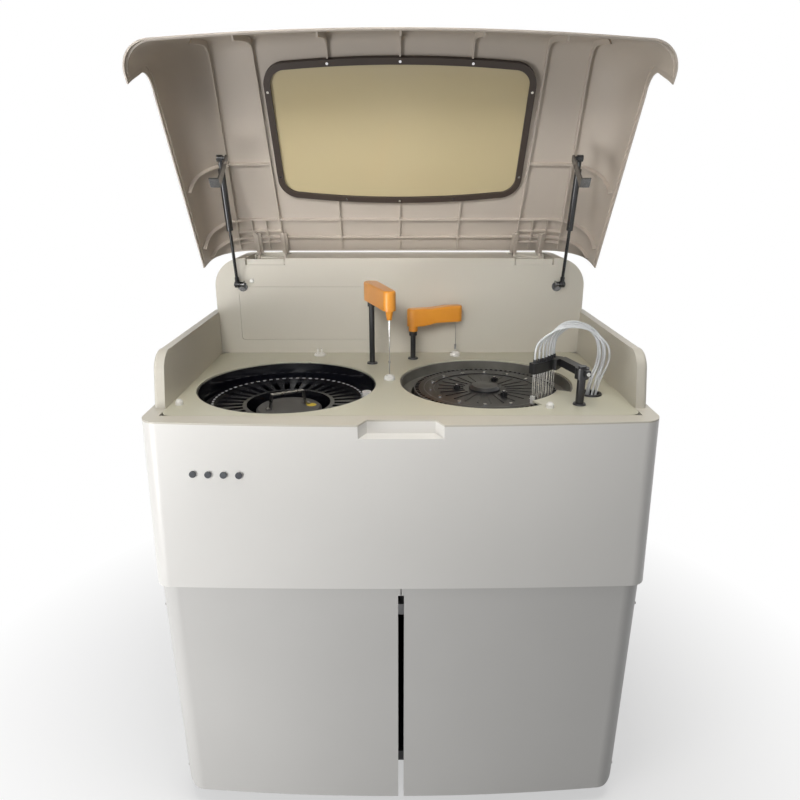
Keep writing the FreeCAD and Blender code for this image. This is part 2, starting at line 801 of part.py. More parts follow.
def make_hinge_bracket():
    """Folded bracket in the pocket of the back wall: face plate, floor, cheeks and pin."""
    x0 = pocket_inner + 3
    x1 = pocket_outer - 3
    face = box(x0, x1, wall_front + 0.5, wall_front + 3, pocket_lip + 0.3, wall_top - 2)
    floor = box(x0, x1, wall_front + 9, hinge_y + 12, pocket_floor + 0.3, pocket_floor + 3)
    neck = box(x0 + 12, x1 - 12, wall_front + 0.5, wall_front + 12, pocket_lip + 0.3, pocket_lip + 3)
    riser = box(x0 + 12, x1 - 12, wall_front + 9, wall_front + 12, pocket_floor + 0.3, pocket_lip + 3)
    pieces = [face, floor, neck, riser]
    for x in (x0 + 1, x1 - 4):
        pieces.append(box(x, x + 3, hinge_y - 14, hinge_y + 10, pocket_floor + 0.3, hinge_z + 6))
    pin = Part.makeCylinder(axis_pin_radius, x1 - x0 - 4, Vector(x0 + 2, hinge_y, hinge_z), Vector(1, 0, 0))
    pieces.append(pin)
    return fuse_all(pieces)


# lid
def lid_levels():
    """Heights, half widths, front edges and corner radii of the lid's outlines, going up."""
    round_z = lid_top - lid_corner_radius
    round_x = lid_half_width - lid_corner_radius
    levels = [(lip_z - 6, lid_half_width, lid_front_at(lip_z - 6), 55.0),
              (70.0, lid_half_width, lid_front_at(70.0), 60.0),
              (round_z, lid_half_width, lid_front_at(round_z), 66.0)]
    for i, back in enumerate((0.0, 1.0, 5.0, 17.0)):
        a = math.radians(22.5 * (i + 1))
        z = round_z + lid_corner_radius * math.sin(a)
        levels.append((z, round_x + lid_corner_radius * math.cos(a), lid_front_at(z) + back, 72.0 - 2 * i))
    return levels


def lid_front_at(z):
    """The lid's front wall leans back as it rises."""
    return lid_front + (z - lip_z) * lid_lean


def lid_solid(inset):
    """The lid's outer form, drawn in by the inset on every side."""
    wires = []
    for z, half, front, radius in lid_levels():
        shrink = min(1.0, max(0.0, (z - 100.0) / (lid_top - 100.0)))
        height = z - inset * shrink
        wires.append(plan_outline(half - inset, front + inset, lid_rear_high + 60,
                                  max(radius - inset, 8.0), lid_bow, height))
    return Part.makeLoft(wires, True, False)


def lid_keep_region(x0, x1, inset):
    """The stretch of the lid's form that is kept, in side view: cut along the skirt and the rear."""
    y0 = ear_tip_y - inset
    z = skirt_z + inset
    low = lip_z + inset
    rear_low = lid_rear_low - inset
    rear_high = lid_rear_high - inset
    edges = [
        Part.makeLine(Vector(x0, -60, low), Vector(x0, y0, low)),
        Part.makeLine(Vector(x0, y0, low), Vector(x0, y0 + 12, z - 40)),
        Part.Arc(Vector(x0, y0 + 12, z - 40), Vector(x0, y0 + 28, z - 9), Vector(x0, y0 + 66, z)).toShape(),
        Part.makeLine(Vector(x0, y0 + 66, z), Vector(x0, rear_low, z)),
        Part.makeLine(Vector(x0, rear_low, z), Vector(x0, rear_high, lid_top + 10)),
        Part.makeLine(Vector(x0, rear_high, lid_top + 10), Vector(x0, -60, lid_top + 10)),
        Part.makeLine(Vector(x0, -60, lid_top + 10), Vector(x0, -60, low)),
    ]
    return Part.Face(Part.Wire(edges)).extrude(Vector(x1 - x0, 0, 0))


long_ribs = (0.0, 139.0, 280.0)
outer_rib_front = 359.0
outer_rib_back = 384.0
cross_ribs = (505.0, 554.0)
grid_inner = 280.0
grid_outer = 381.0
grid_columns = 4
grid_rows = 4
mid_rib_y = 362.0


def rib_plates():
    """Thin plates in every place where the lid has a stiffening rib."""
    t = rib_thickness / 2
    low = 90.0
    high = lid_top + 5
    plates = []
    lean = prism_z([(outer_rib_front - t, 60), (outer_rib_front + t, 60), (outer_rib_back + t, lid_rear_high),
                    (outer_rib_back - t, lid_rear_high)], low, high)
    plates.extend([lean, mirrored(lean)])
    for x in long_ribs:
        for side in (-1, 1):
            plates.append(box(side * x - t, side * x + t, -20, lid_rear_high, low, high))
            if x == 0:
                break
    for y in cross_ribs:
        plates.append(box(-lid_half_width, lid_half_width, y - t, y + t, skirt_z + 20, high))
    for side in (-1, 1):
        x0, x1 = sorted((side * grid_inner, side * lid_half_width))
        plates.append(box(x0, x1, mid_rib_y - t, mid_rib_y + t, skirt_z + 20, high))
        for i in range(1, grid_columns - 1):
            x = side * (grid_inner + (grid_outer - grid_inner) * i / (grid_columns - 1))
            plates.append(box(x - t, x + t, cross_ribs[0], lid_rear_high, 200, high))
        for i in range(1, grid_rows):
            y = cross_ribs[0] + (lid_rear_high - 6 - cross_ribs[0]) * i / (grid_rows - 1)
            g0, g1 = sorted((side * grid_inner, side * grid_outer))
            plates.append(box(g0, g1, y - t, y + t, 200, high))
    return plates


def make_lid_shell():
    outer = lid_solid(0)
    inner = lid_solid(lid_wall)
    core = lid_solid(lid_wall + rib_depth)
    shell = outer.cut(inner)
    rib_zone = inner.cut(core)
    clear = window_shape(1, 150, 300)
    ribs = []
    for plate in rib_plates():
        rib = plate.common(rib_zone).cut(clear)
        if rib.Volume > 1:
            ribs.append(rib)
    shell = shell.multiFuse(ribs)
    shell = shell.cut(window_shape(-gasket_width, 150, 300))
    reach = lid_half_width + 10
    shell = shell.common(lid_keep_region(-reach, reach, 0))
    rebate = lid_solid(lid_wall - edge_step).cut(lid_keep_region(-reach, reach, edge_band))
    return shell.cut(rebate)


def window_shape(grow, z0, z1):
    """The window's outline, bowed at the front and the back, grown or shrunk all round."""
    w = window_half_width + grow
    y0 = window_front + window_bow_front - grow
    y1 = window_back - window_bow_back + grow
    r = window_radius + grow
    k = r * (1 - math.sqrt(0.5))
    edges = [
        Part.Arc(Vector(-w + r, y0, z0), Vector(0, y0 - window_bow_front, z0), Vector(w - r, y0, z0)).toShape(),
        Part.Arc(Vector(w - r, y0, z0), Vector(w - k, y0 + k, z0), Vector(w, y0 + r, z0)).toShape(),
        Part.makeLine(Vector(w, y0 + r, z0), Vector(w, y1 - r, z0)),
        Part.Arc(Vector(w, y1 - r, z0), Vector(w - k, y1 - k, z0), Vector(w - r, y1, z0)).toShape(),
        Part.Arc(Vector(w - r, y1, z0), Vector(0, y1 + window_bow_back, z0), Vector(-w + r, y1, z0)).toShape(),
        Part.Arc(Vector(-w + r, y1, z0), Vector(-w + k, y1 - k, z0), Vector(-w, y1 - r, z0)).toShape(),
        Part.makeLine(Vector(-w, y1 - r, z0), Vector(-w, y0 + r, z0)),
        Part.Arc(Vector(-w, y0 + r, z0), Vector(-w + k, y0 + k, z0), Vector(-w + r, y0, z0)).toShape(),
    ]
    return Part.Face(Part.Wire(edges)).extrude(Vector(0, 0, z1 - z0))


pane_edge = 6.0


def make_window_pane():
    top = lid_top - lid_wall - seam
    return window_shape(-pane_edge, top - pane_thickness, top)


gasket_low = lid_top - lid_wall - seam - pane_thickness - 6.0


def make_window_gasket():
    top = lid_top - lid_wall - seam
    ring = window_shape(0, gasket_low, top)
    seat = window_shape(-pane_edge + 0.3, top - pane_thickness - 0.3, top + 1)
    hole = window_shape(-gasket_width, gasket_low - 1, top + 1)
    return ring.cut(seat).cut(hole)


def gasket_screw_places():
    x = window_half_width - gasket_width / 2
    y0 = window_front + gasket_width / 2
    y1 = window_back - gasket_width / 2
    places = [(-140, y0 + 4), (0, y0), (140, y0 + 4), (-120, y1 - 4), (0, y1), (120, y1 - 4)]
    for side in (-1, 1):
        for y in (y0 + 60, y1 - 60):
            places.append((side * x, y))
    return places


def make_gasket_screws():
    return Part.makeCompound([cylinder(x, y, gasket_low - 1.6, gasket_low, 2.6)
                              for x, y in gasket_screw_places()])


def make_hinge_arms():
    """Two flat steel arms on each side, from the hinge pin to the ribs of the lid."""
    arms = []
    under = lid_top - lid_wall - rib_depth
    for x in (arm_in, arm_out):
        eye = Part.makeCylinder(9, arm_thickness, Vector(x, hinge_y, hinge_z), Vector(1, 0, 0))
        web = prism_x([(hinge_y - 8, hinge_z + 4), (hinge_y + 6, hinge_z + 4), (hinge_y, under - seam),
                       (hinge_y - 60, under - seam), (hinge_y - 60, under - 6)], x, x + arm_thickness)
        foot = box(x - 6, x + arm_thickness + 6, hinge_y - 60, hinge_y - 4, under - 3, under - seam)
        arm = fuse_all([eye, web, foot])
        bore = Part.makeCylinder(axis_pin_radius + 0.05, arm_thickness + 14,
                                 Vector(x - 5, hinge_y, hinge_z), Vector(1, 0, 0))
        arms.append(arm.cut(bore))
    return Part.makeCompound(arms)


def make_lid_strut_bracket(lid):
    """A plate hung from the lid's outer rib, seated just below the rib's lowest edge."""
    y = strut_lid_y
    above = box(bracket_plate_x0, bracket_plate_x0 + 20, y - 10, y + 10, strut_lid_z, lid_top)
    top = lid.common(above).BoundBox.ZMin - seam
    z = strut_lid_z
    plate = prism_x([(y - 6, z), (y + 6, z), (y + 10, top), (y - 10, top)], bracket_plate_x0, bracket_plate_x1)
    nose = Part.makeCylinder(7, 3, Vector(bracket_plate_x0, y, z), Vector(1, 0, 0))
    foot = box(bracket_plate_x0, bracket_plate_x0 + 20, y - 10, y + 10, top - 3, top)
    return fuse_all([plate, nose, foot])


# gas struts, built in the open position
def lid_point_open(y, z):
    a = math.radians(open_angle)
    dy = y - hinge_y
    dz = z - hinge_z
    return Vector(0, hinge_y + dy * math.cos(a) + dz * math.sin(a),
                  hinge_z - dy * math.sin(a) + dz * math.cos(a))


def strut_frame():
    low = Vector(strut_x, strut_wall_y, strut_wall_z)
    high = lid_point_open(strut_lid_y, strut_lid_z)
    high.x = strut_x
    return low, high


def strut_eye(centre):
    eye = Part.makeCylinder(strut_eye_radius, 12, Vector(centre.x - 6, centre.y, centre.z), Vector(1, 0, 0))
    return eye


def make_strut_rod():
    low, high = strut_frame()
    along = (high - low).normalize()
    length = (high - low).Length
    visible = length - strut_cylinder_length - 22.0
    eye = strut_eye(low)
    socket = Part.makeCylinder(5, 12, low + along * 5, along)
    rod = Part.makeCylinder(strut_rod_radius, visible + 2, low + along * 8, along)
    bore = Part.makeCylinder(strut_pin_radius + 0.05, 20, Vector(strut_x - 10, low.y, low.z), Vector(1, 0, 0))
    return fuse_all([eye, socket, rod]).cut(bore)


def make_strut_cylinder():
    low, high = strut_frame()
    along = (high - low).normalize()
    start = high - along * (strut_cylinder_length + 22.0)
    tube_body = Part.makeCylinder(strut_radius, strut_cylinder_length, start, along)
    bore = Part.makeCylinder(strut_rod_radius + running_gap, strut_cylinder_length - 6, start - along, along)
    neck = Part.makeCylinder(4.5, 20, high - along * 24, along)
    eye = strut_eye(high)
    stud_length = strut_x - 6 - bracket_plate_x1 - seam
    stud = Part.makeCylinder(4, stud_length + 1, Vector(bracket_plate_x1 + seam, high.y, high.z), Vector(1, 0, 0))
    return fuse_all([tube_body, neck, eye, stud]).cut(bore)


# tubs, carousels and their drives
tub_top = -deck_thickness - seam
reagent_tub_depth = 150.0
reaction_step = 24.0
reaction_tub_depth = 60.0


def make_reagent_tub():
    r = reagent_hole
    floor = -reagent_tub_depth
    return turned_solid([
        (r + tub_flange, tub_top), (r + tub_flange, tub_top - 3), (r, tub_top - 3), (r, floor - 4),
        (14, floor - 4), (14, floor), (r - tub_wall, floor), (r - tub_wall, tub_top)], reagent_x, reagent_y)


def make_reaction_tub():
    r = reaction_hole
    floor = -reaction_tub_depth
    step = -reaction_step
    inner = cuvette_radius() + 11
    return turned_solid([
        (r + tub_flange, tub_top), (r + tub_flange, tub_top - 3), (r, tub_top - 3), (r, step - 3),
        (inner + 3, step - 3), (inner + 3, floor - 4), (14, floor - 4), (14, floor), (inner, floor),
        (inner, step), (r - tub_wall, step), (r - tub_wall, tub_top)], reaction_x, reaction_y)


def drive_motor(x, y, top):
    points = [(28, top - 60), (28, top - 4), (34, top - 4), (34, top - seam), (10, top - seam),
              (10, top - 16), (0, top - 16), (0, top - 60)]
    motor = turned_solid(points, x, y)
    terminal = box(x + 24, x + 40, y - 9, y + 9, top - 50, top - 30)
    return motor.fuse(terminal).removeSplitter()


reagent_deck_z = -38.0
reagent_deck_inner = 84.0
reagent_deck_outer = 169.0
hub_radius = 18.0
slot_inner = 92.0
slot_outer = 146.0


def make_reagent_rotor():
    floor = -reagent_tub_depth + 4
    top = reagent_deck_z
    points = [
        (0, floor - 13), (9.9, floor - 13), (9.9, floor), (reagent_deck_outer, floor),
        (reagent_deck_outer, floor + 4), (reagent_deck_inner + 2, floor + 4),
        (reagent_deck_inner + 2, top - 6), (reagent_deck_outer, top - 6), (reagent_deck_outer, top),
        (reagent_deck_inner, top), (reagent_deck_inner, floor + 4), (hub_radius, floor + 4),
        (hub_radius, -54), (0, -54)]
    rotor = turned_solid(points, reagent_x, reagent_y)
    for i in range(sample_places):
        angle = sample_angle() + 360.0 / sample_places * i
        p = on_circle(reagent_x, reagent_y, sample_ring, angle)
        rotor = rotor.cut(cylinder(p.x, p.y, top - 8, top + 1, 5.5))
        slot = box(slot_inner, slot_outer, -6, 6, top - 8, top + 1)
        slot.rotate(Vector(0, 0, 0), UP, angle)
        slot.translate(Vector(reagent_x, reagent_y, 0))
        rotor = rotor.cut(slot)
    return rotor


cover_radius = 66.0


def make_reagent_cover():
    return turned_solid([(0, -54), (cover_radius, -54), (cover_radius, -51), (cover_radius - 4, -47),
                         (0, -47)], reagent_x, reagent_y)


def make_carousel_handle():
    """A bail of flat strip, standing on the reagent cover."""
    half = 38.0
    top = -16.0
    width = 12.0
    t = 3.0
    outline = [(-half - 8, -47), (-half + 2, -47), (-half + 6, top - t), (half - 6, top - t),
               (half - 2, -47), (half + 8, -47), (half + 8, -44), (half + 1, -44), (half - 4, top),
               (-half + 4, top), (-half - 1, -44), (-half - 8, -44)]
    bail = prism_y(outline, -width / 2, width / 2)
    bail.rotate(Vector(0, 0, 0), UP, 28)
    bail.translate(Vector(reagent_x - 2, reagent_y, 0))
    return bail


def make_sample_cup():
    p = on_circle(reagent_x, reagent_y, sample_ring, sample_angle() - 360.0 / sample_places)
    points = [(0, -60), (4.6, -60), (5.2, -38), (8.4, -37.7), (9.2, -14), (7.4, -14), (5, -36), (3.6, -57), (0, -57)]
    return turned_solid(points, p.x, p.y)


rotor_top = -16.0
ring_top = -14.0
cuvette_depth = 34.0
clamp_inner = 106.0


def make_reaction_rotor():
    edge = cuvette_radius() - 7
    floor = -reaction_tub_depth + 4
    points = [
        (0, floor - 13), (9.9, floor - 13), (9.9, floor), (26, floor), (26, rotor_top - 5),
        (edge, rotor_top - 5), (edge, rotor_top), (0, rotor_top)]
    rotor = turned_solid(points, reaction_x, reaction_y)
    for i in range(24):
        rib = box(44, 96, -0.8, 0.8, rotor_top - 0.5, rotor_top + 1.2)
        rib.rotate(Vector(0, 0, 0), UP, 15 * i)
        rib.translate(Vector(reaction_x, reaction_y, 0))
        rotor = rotor.fuse(rib)
    return rotor.removeSplitter()


def make_cuvette_ring():
    mid = cuvette_radius()
    low = ring_top - cuvette_depth - 1
    points = [(clamp_inner, rotor_top), (mid - 6.7, rotor_top), (mid - 6.7, low), (mid + 5.5, low),
              (mid + 5.5, ring_top), (clamp_inner, ring_top)]
    ring = turned_solid(points, reaction_x, reaction_y)
    pockets = []
    for i in range(cuvette_places):
        pocket = box(mid - 4, mid + 4, -3.3, 3.3, ring_top - cuvette_depth, ring_top + 1)
        pocket.rotate(Vector(0, 0, 0), UP, cuvette_angle(i))
        pocket.translate(Vector(reaction_x, reaction_y, 0))
        pockets.append(pocket)
    return ring.cut(Part.makeCompound(pockets))


def make_ring_screws():
    screws = []
    for i in range(14):
        p = on_circle(reaction_x, reaction_y, 112, 360.0 / 14 * i + 6)
        screws.append(cylinder(p.x, p.y, ring_top, ring_top + 2.2, 3.2))
    return Part.makeCompound(screws)


def make_reaction_hub_cap():
    z = rotor_top
    return turned_solid([(0, z), (32, z), (32, z + 3), (26, z + 8), (0, z + 9)], reaction_x, reaction_y)


def make_thumb_screws():
    screws = []
    for angle in (183, 303, 63):
        p = on_circle(reaction_x, reaction_y, 58, angle)
        star = []
        for i in range(5):
            lobe = on_circle(p.x, p.y, 5.0, 72 * i)
            star.append(cylinder(lobe.x, lobe.y, rotor_top + 1.3, rotor_top + 8, 2.6))
        star.append(cylinder(p.x, p.y, rotor_top + 1.3, rotor_top + 10, 4.2))
        screws.append(fuse_all(star))
    return Part.makeCompound(screws)


# arms
needle_radius = 0.9
probe_tip_z = 12.0
stirrer_tip_z = 16.0
probe_stroke = 55.0
carriage_z = -150.0


def arm_cover(x, y, reach, angle, bottom, height, wide, end, rise):
    """A moulded cover, round over the post and over the needle, narrowing between."""
    top = bottom + height
    plan = []
    a = Vector(0, wide, bottom)
    b = Vector(-wide, 0, bottom)
    c = Vector(0, -wide, bottom)
    d = Vector(reach, -end, bottom)
    e = Vector(reach + end, 0, bottom)
    f = Vector(reach, end, bottom)
    plan.append(Part.Arc(a, b, c).toShape())
    plan.append(Part.makeLine(c, d))
    plan.append(Part.Arc(d, e, f).toShape())
    plan.append(Part.makeLine(f, a))
    body = Part.Face(Part.Wire(plan)).extrude(Vector(0, 0, height))
    side = [(-wide - 2, bottom), (reach * 0.2, bottom), (reach * 0.5, bottom + rise),
            (reach + end + 2, bottom + rise), (reach + end + 2, top), (reach * 0.72, top),
            (reach * 0.4, top - rise * 0.5), (-wide - 2, top - rise * 0.5)]
    cut = prism_y(side, -wide - 5, wide + 5)
    body = body.common(cut)
    rounded = [e2 for e2 in body.Edges if e2.BoundBox.ZMin > bottom + height * 0.6]
    body = body.makeFillet(4.0, rounded)
    body.rotate(Vector(0, 0, 0), UP, angle)
    body.translate(Vector(x, y, 0))
    return body


def make_probe_post():
    x, y = probe_post_x, probe_post_y
    points = [(0, carriage_z + 6), (post_radius, carriage_z + 6), (post_radius, probe_arm_bottom - 14),
              (9, probe_arm_bottom - 14), (9, probe_arm_bottom - 4), (0, probe_arm_bottom - 4)]
    return turned_solid(points, x, y)


def make_probe_arm_cover():
    body = arm_cover(probe_post_x, probe_post_y, probe_reach, probe_rest_angle, probe_arm_bottom,
                     probe_arm_height, 16.0, 13.0, 0.0)
    neck = cylinder(probe_post_x, probe_post_y, probe_arm_bottom - 4, probe_arm_bottom + 2, 10.5)
    tip = probe_well()
    cone = Part.makeCone(5.0, 9.0, 23.0, Vector(tip.x, tip.y, probe_arm_bottom - 19), UP)
    cover = fuse_all([body, neck, cone])
    return cover.cut(cylinder(tip.x, tip.y, probe_arm_bottom - 30, probe_arm_bottom + 10, needle_radius + 0.1))


def make_probe_needle():
    tip = probe_well()
    needle = cylinder(tip.x, tip.y, probe_tip_z, probe_arm_bottom + 9, needle_radius)
    bead = cylinder(tip.x, tip.y, 36, 39, 2.2)
    sleeve = cylinder(tip.x, tip.y, probe_arm_bottom - 40, probe_arm_bottom - 19.3, 1.5)
    return fuse_all([needle, bead, sleeve])


def make_stirrer_post():
    x, y = stirrer_post_x, stirrer_post_y
    z = stirrer_arm_bottom - 12
    points = [(0, carriage_z + 6), (post_radius, carriage_z + 6), (post_radius, z - 10), (9, z - 10),
              (9, z), (0, z)]
    return turned_solid(points, x, y)


def make_stirrer_arm_cover():
    body = arm_cover(stirrer_post_x, stirrer_post_y, stirrer_reach(), stirrer_rest_angle,
                     stirrer_arm_bottom, stirrer_arm_height, 14.0, 13.0, 6.0)
    neck = cylinder(stirrer_post_x, stirrer_post_y, stirrer_arm_bottom - 12, stirrer_arm_bottom + 8, 10.5)
    cover = fuse_all([body, neck])
    tip = stirrer_well()
    return cover.cut(cylinder(tip.x, tip.y, stirrer_arm_bottom - 5, stirrer_arm_bottom + 20, needle_radius + 0.1))


def make_stirrer_needle():
    tip = stirrer_well()
    needle = cylinder(tip.x, tip.y, stirrer_tip_z, stirrer_arm_bottom + 19, needle_radius)
    paddle = box(tip.x - 2.2, tip.x + 2.2, tip.y - 0.5, tip.y + 0.5, stirrer_tip_z, stirrer_tip_z + 12)
    return needle.fuse(paddle).removeSplitter()


guide_offset = 21.0
guide_radius = 4.0


def lift_piece(shape, x, y, angle):
    shape.rotate(Vector(0, 0, 0), UP, angle)
    shape.translate(Vector(x, y, 0))
    return shape


def lift_frame(x, y, angle, bore):
    """A plate under the deck with two guide rods and a foot plate, for one lift."""
    top = -deck_thickness - seam
    plate = box(-32, 32, -13, 13, top - 5, top)
    foot = box(-32, 32, -13, 13, carriage_z - 90, carriage_z - 85)
    pieces = [plate, foot]
    for side in (-1, 1):
        pieces.append(cylinder(side * guide_offset, 0, carriage_z - 86, top - 4, guide_radius))
    frame = fuse_all(pieces).cut(cylinder(0, 0, -30, 0, bore))
    return lift_piece(frame, x, y, angle)


def lift_carriage(x, y, angle, post_bottom):
    """The block that rides on the guide rods and carries the foot of a post."""
    z = post_bottom - seam
    block = box(-30, 30, -12, 12, z - 16, z)
    for side in (-1, 1):
        block = block.cut(cylinder(side * guide_offset, 0, z - 20, z + 5, guide_radius + 0.08))
    return lift_piece(block, x, y, angle)


# wash station
def wash_angles():
    return [cuvette_angle(wash_first_step + i) for i in range(wash_stations)]


def sector(r0, r1, a0, a1, z0, z1):
    x, y = reaction_x, reaction_y
    mid = (a0 + a1) / 2
    wire = Part.Wire([
        Part.Arc(on_circle(x, y, r0, a0), on_circle(x, y, r0, mid), on_circle(x, y, r0, a1)).toShape(),
        Part.makeLine(on_circle(x, y, r0, a1), on_circle(x, y, r1, a1)),
        Part.Arc(on_circle(x, y, r1, a1), on_circle(x, y, r1, mid), on_circle(x, y, r1, a0)).toShape(),
        Part.makeLine(on_circle(x, y, r1, a0), on_circle(x, y, r0, a0))])
    solid = Part.Face(wire).extrude(Vector(0, 0, z1 - z0))
    solid.translate(Vector(0, 0, z0))
    return solid


manifold_low = 50.0
manifold_top = 70.0
needle_ring = 2.2


def make_wash_manifold():
    mid = cuvette_radius()
    angles = wash_angles()
    block = sector(mid - 7, mid + 7, min(angles) - 3, max(angles) + 3, manifold_low, manifold_top)
    for a in angles:
        p = on_circle(reaction_x, reaction_y, mid, a)
        block = block.fuse(cylinder(p.x, p.y, manifold_top - 1, manifold_top + 6, 3.4))
    for a in angles:
        for r in (mid - needle_ring, mid + needle_ring):
            p = on_circle(reaction_x, reaction_y, r, a)
            block = block.cut(cylinder(p.x, p.y, manifold_low - 1, manifold_low + 8, 0.9))
    return block.removeSplitter()


def make_wash_needles():
    mid = cuvette_radius()
    needles = []
    for a in wash_angles():
        for r, tip in ((mid - needle_ring, ring_top + 3), (mid + needle_ring, ring_top + 6)):
            p = on_circle(reaction_x, reaction_y, r, a)
            needles.append(cylinder(p.x, p.y, tip, manifold_low + 8, 0.9))
    return Part.makeCompound(needles)


bracket_plate = 4.0
bracket_flange = 14.0


def make_wash_bracket():
    """A folded bracket: a flat top plate with a flange along its front, clamped to the post."""
    mid = cuvette_radius()
    end = on_circle(reaction_x, reaction_y, mid + 14, max(wash_angles()) + 1)
    start = Vector(wash_post_x, wash_post_y, 0)
    along = (end - start)
    length = along.Length
    angle = math.degrees(math.atan2(along.y, along.x))
    high = manifold_top
    low = high - bracket_flange
    plate = box(-4, length, -9, 9, high - bracket_plate, high)
    front = box(-4, length, 5, 9, low, high)
    bead = box(6, length - 8, -9, -7, high - 7, high)
    arm = plate.fuse([front, bead])
    arm.rotate(Vector(0, 0, 0), UP, angle)
    arm.translate(start)
    eye = cylinder(wash_post_x, wash_post_y, manifold_low, high, 12.5)
    lug = box(-22, -8, -5, 5, low + 2, high - 1)
    lug.rotate(Vector(0, 0, 0), UP, angle)
    lug.translate(start)
    pad = sector(mid + 7, mid + 15, max(wash_angles()) - 9, max(wash_angles()) + 3, manifold_low, high)
    bracket = fuse_all([arm, eye, lug, pad])
    keep_off = sector(mid - 20, mid + 7, min(wash_angles()) - 20, max(wash_angles()) + 20,
                      manifold_low - 1, high + 1)
    bracket = bracket.cut(keep_off)
    return bracket.cut(cylinder(wash_post_x, wash_post_y, manifold_low - 1, high + 1, wash_post_radius))


def make_wash_post():
    return turned_solid([(0, carriage_z + 6), (wash_post_radius, carriage_z + 6),
                         (wash_post_radius, wash_top), (0, wash_top)], wash_post_x, wash_post_y)


tube_radius = 2.0
tube_peak = 141.0


def tube_route(index):
    """One wash tube: up from the manifold, over in an arch, down through the deck."""
    a = wash_angles()[index]
    start = on_circle(reaction_x, reaction_y, cuvette_radius(), a)
    spread = (index - (wash_stations - 1) / 2)
    turn = 360.0 / wash_stations * index
    end = on_circle(tube_hole_x, tube_hole_y, 9.0, turn)
    peak = tube_peak - 2.5 * abs(spread)
    rise = Vector(start.x, start.y, manifold_top + 6.1)
    dx = end.x - start.x
    dy = end.y - start.y
    bulge = 14 + 1.6 * spread
    return [
        rise,
        Vector(start.x - 2, start.y, manifold_top + 30),
        Vector(start.x + dx * 0.12, start.y + dy * 0.12, peak - 16),
        Vector(start.x + dx * 0.42, start.y + dy * 0.42, peak + 3),
        Vector(start.x + dx * 0.78 + bulge * 0.4, start.y + dy * 0.78, peak - 3),
        Vector(end.x + bulge, end.y - 6, peak - 34),
        Vector(end.x + bulge + 3, end.y - 4, 66),
        Vector(end.x + bulge * 0.4, end.y - 1, 30),
        Vector(end.x, end.y, -14),
        Vector(end.x, end.y, -70),
    ]


def swept_tube(points, radius, label):
    """A round tube along straight runs joined by tangent arcs."""
    edges = []
    here = points[0]
    radii = []
    for i in range(1, len(points) - 1):
        before = points[i] - points[i - 1]
        after = points[i + 1] - points[i]
        u = Vector(before).normalize()
        v = Vector(after).normalize()
        angle = math.acos(max(-1.0, min(1.0, u.dot(v))))
        setback = 0.45 * min(before.Length, after.Length)
        arc_radius = setback / math.tan(angle / 2)
        radii.append(round(arc_radius, 1))
        a = points[i] - u * setback
        b = points[i] + v * setback
        bisector = (v - u).normalize()
        middle = points[i] + bisector * (arc_radius / math.cos(angle / 2) - arc_radius)
        edges.append(Part.makeLine(here, a))
        edges.append(Part.Arc(a, middle, b).toShape())
        here = b
    edges.append(Part.makeLine(here, points[-1]))
    path = Part.Wire(edges)
    start = Vector(points[1] - points[0]).normalize()
    circle = Part.Wire([Part.makeCircle(radius, points[0], start)])
    solid = path.makePipeShell([circle], True, True)
    print(label, "radii", radii, "length", round(path.Length, 1),
          "volume ratio", round(solid.Volume / (math.pi * radius ** 2 * path.Length), 3))
    return solid


def make_wash_tubes():
    tubes = []
    for i in range(wash_stations):
        tubes.append(swept_tube(tube_route(i), tube_radius, "wash tube %d" % i))
    return Part.makeCompound(tubes)


# modules inside the cabinet
def bottle(x, y, z, w, d, h, neck_x):
    body = box(x - w / 2, x + w / 2, y - d / 2, y + d / 2, z, z + h)
    body = body.makeFillet(14, [e for e in body.Edges if e.Length > 0])
    neck = cylinder(x + neck_x, y, z + h - 3, z + h + 14, 20)
    cap = cylinder(x + neck_x, y, z + h + 8, z + h + 26, 25)
    return fuse_all([body, neck, cap])


pan_z = frame_low + 27


def make_power_supply():
    z = shelf_z + 2.5
    case = box(-380, -200, 380, 580, z, z + 90)
    for i in range(6):
        case = case.cut(box(-370 + 26 * i, -360 + 26 * i, 379, 384, z + 20, z + 70))
    return case


def make_syringe_pump():
    z = shelf_z + 2.5
    base = box(-40, 60, 180, 300, z, z + 120)
    pieces = [base]
    for x in (-15, 35):
        pieces.append(cylinder(x, 170, z + 50, z + 110, 7))
        pieces.append(cylinder(x, 170, z + 10, z + 52, 3))
        pieces.append(box(x - 9, x + 9, 160, 181, z + 104, z + 118))
        pieces.append(box(x - 9, x + 9, 160, 181, z + 6, z + 14))
    return fuse_all(pieces)


def make_diaphragm_pumps():
    z = shelf_z + 2.5
    pumps = []
    for x in (220, 320):
        base = box(x - 35, x + 35, 250, 330, z, z + 12)
        motor = Part.makeCylinder(26, 60, Vector(x, 290, z + 36), Vector(0, 1, 0))
        head = box(x - 28, x + 28, 245, 291, z + 8, z + 66)
        foot = box(x - 10, x + 10, 295, 330, z + 8, z + 20)
        pumps.append(fuse_all([base, motor, head, foot]))
    return Part.makeCompound(pumps)


def make_control_board():
    y = rear_panel_y - 12
    board = box(-120, 180, y, y + 2, shelf_z + 60, shelf_z + 260)
    pieces = [board]
    for x in (-110, 170):
        for z in (shelf_z + 70, shelf_z + 250):
            pieces.append(Part.makeCylinder(3, 12 - seam, Vector(x, y, z), Vector(0, 1, 0)))
    for i in range(4):
        pieces.append(box(-90 + 60 * i, -60 + 60 * i, y - 8, y + 1, shelf_z + 120, shelf_z + 150))
    return fuse_all(pieces)


def make_fluid_bottles():
    """Four canisters on the bottom pan: clean water, detergent and two for waste."""
    places = ((-300, 250, -60), (-120, 250, 50), (120, 250, -50), (300, 250, 60))
    return Part.makeCompound([bottle(x, y, pan_z, 150, 220, 250, neck / 2) for x, y, neck in places])


def make_shelf_modules():
    return Part.makeCompound([make_power_supply(), make_syringe_pump(), make_diaphragm_pumps(),
                              make_control_board()])


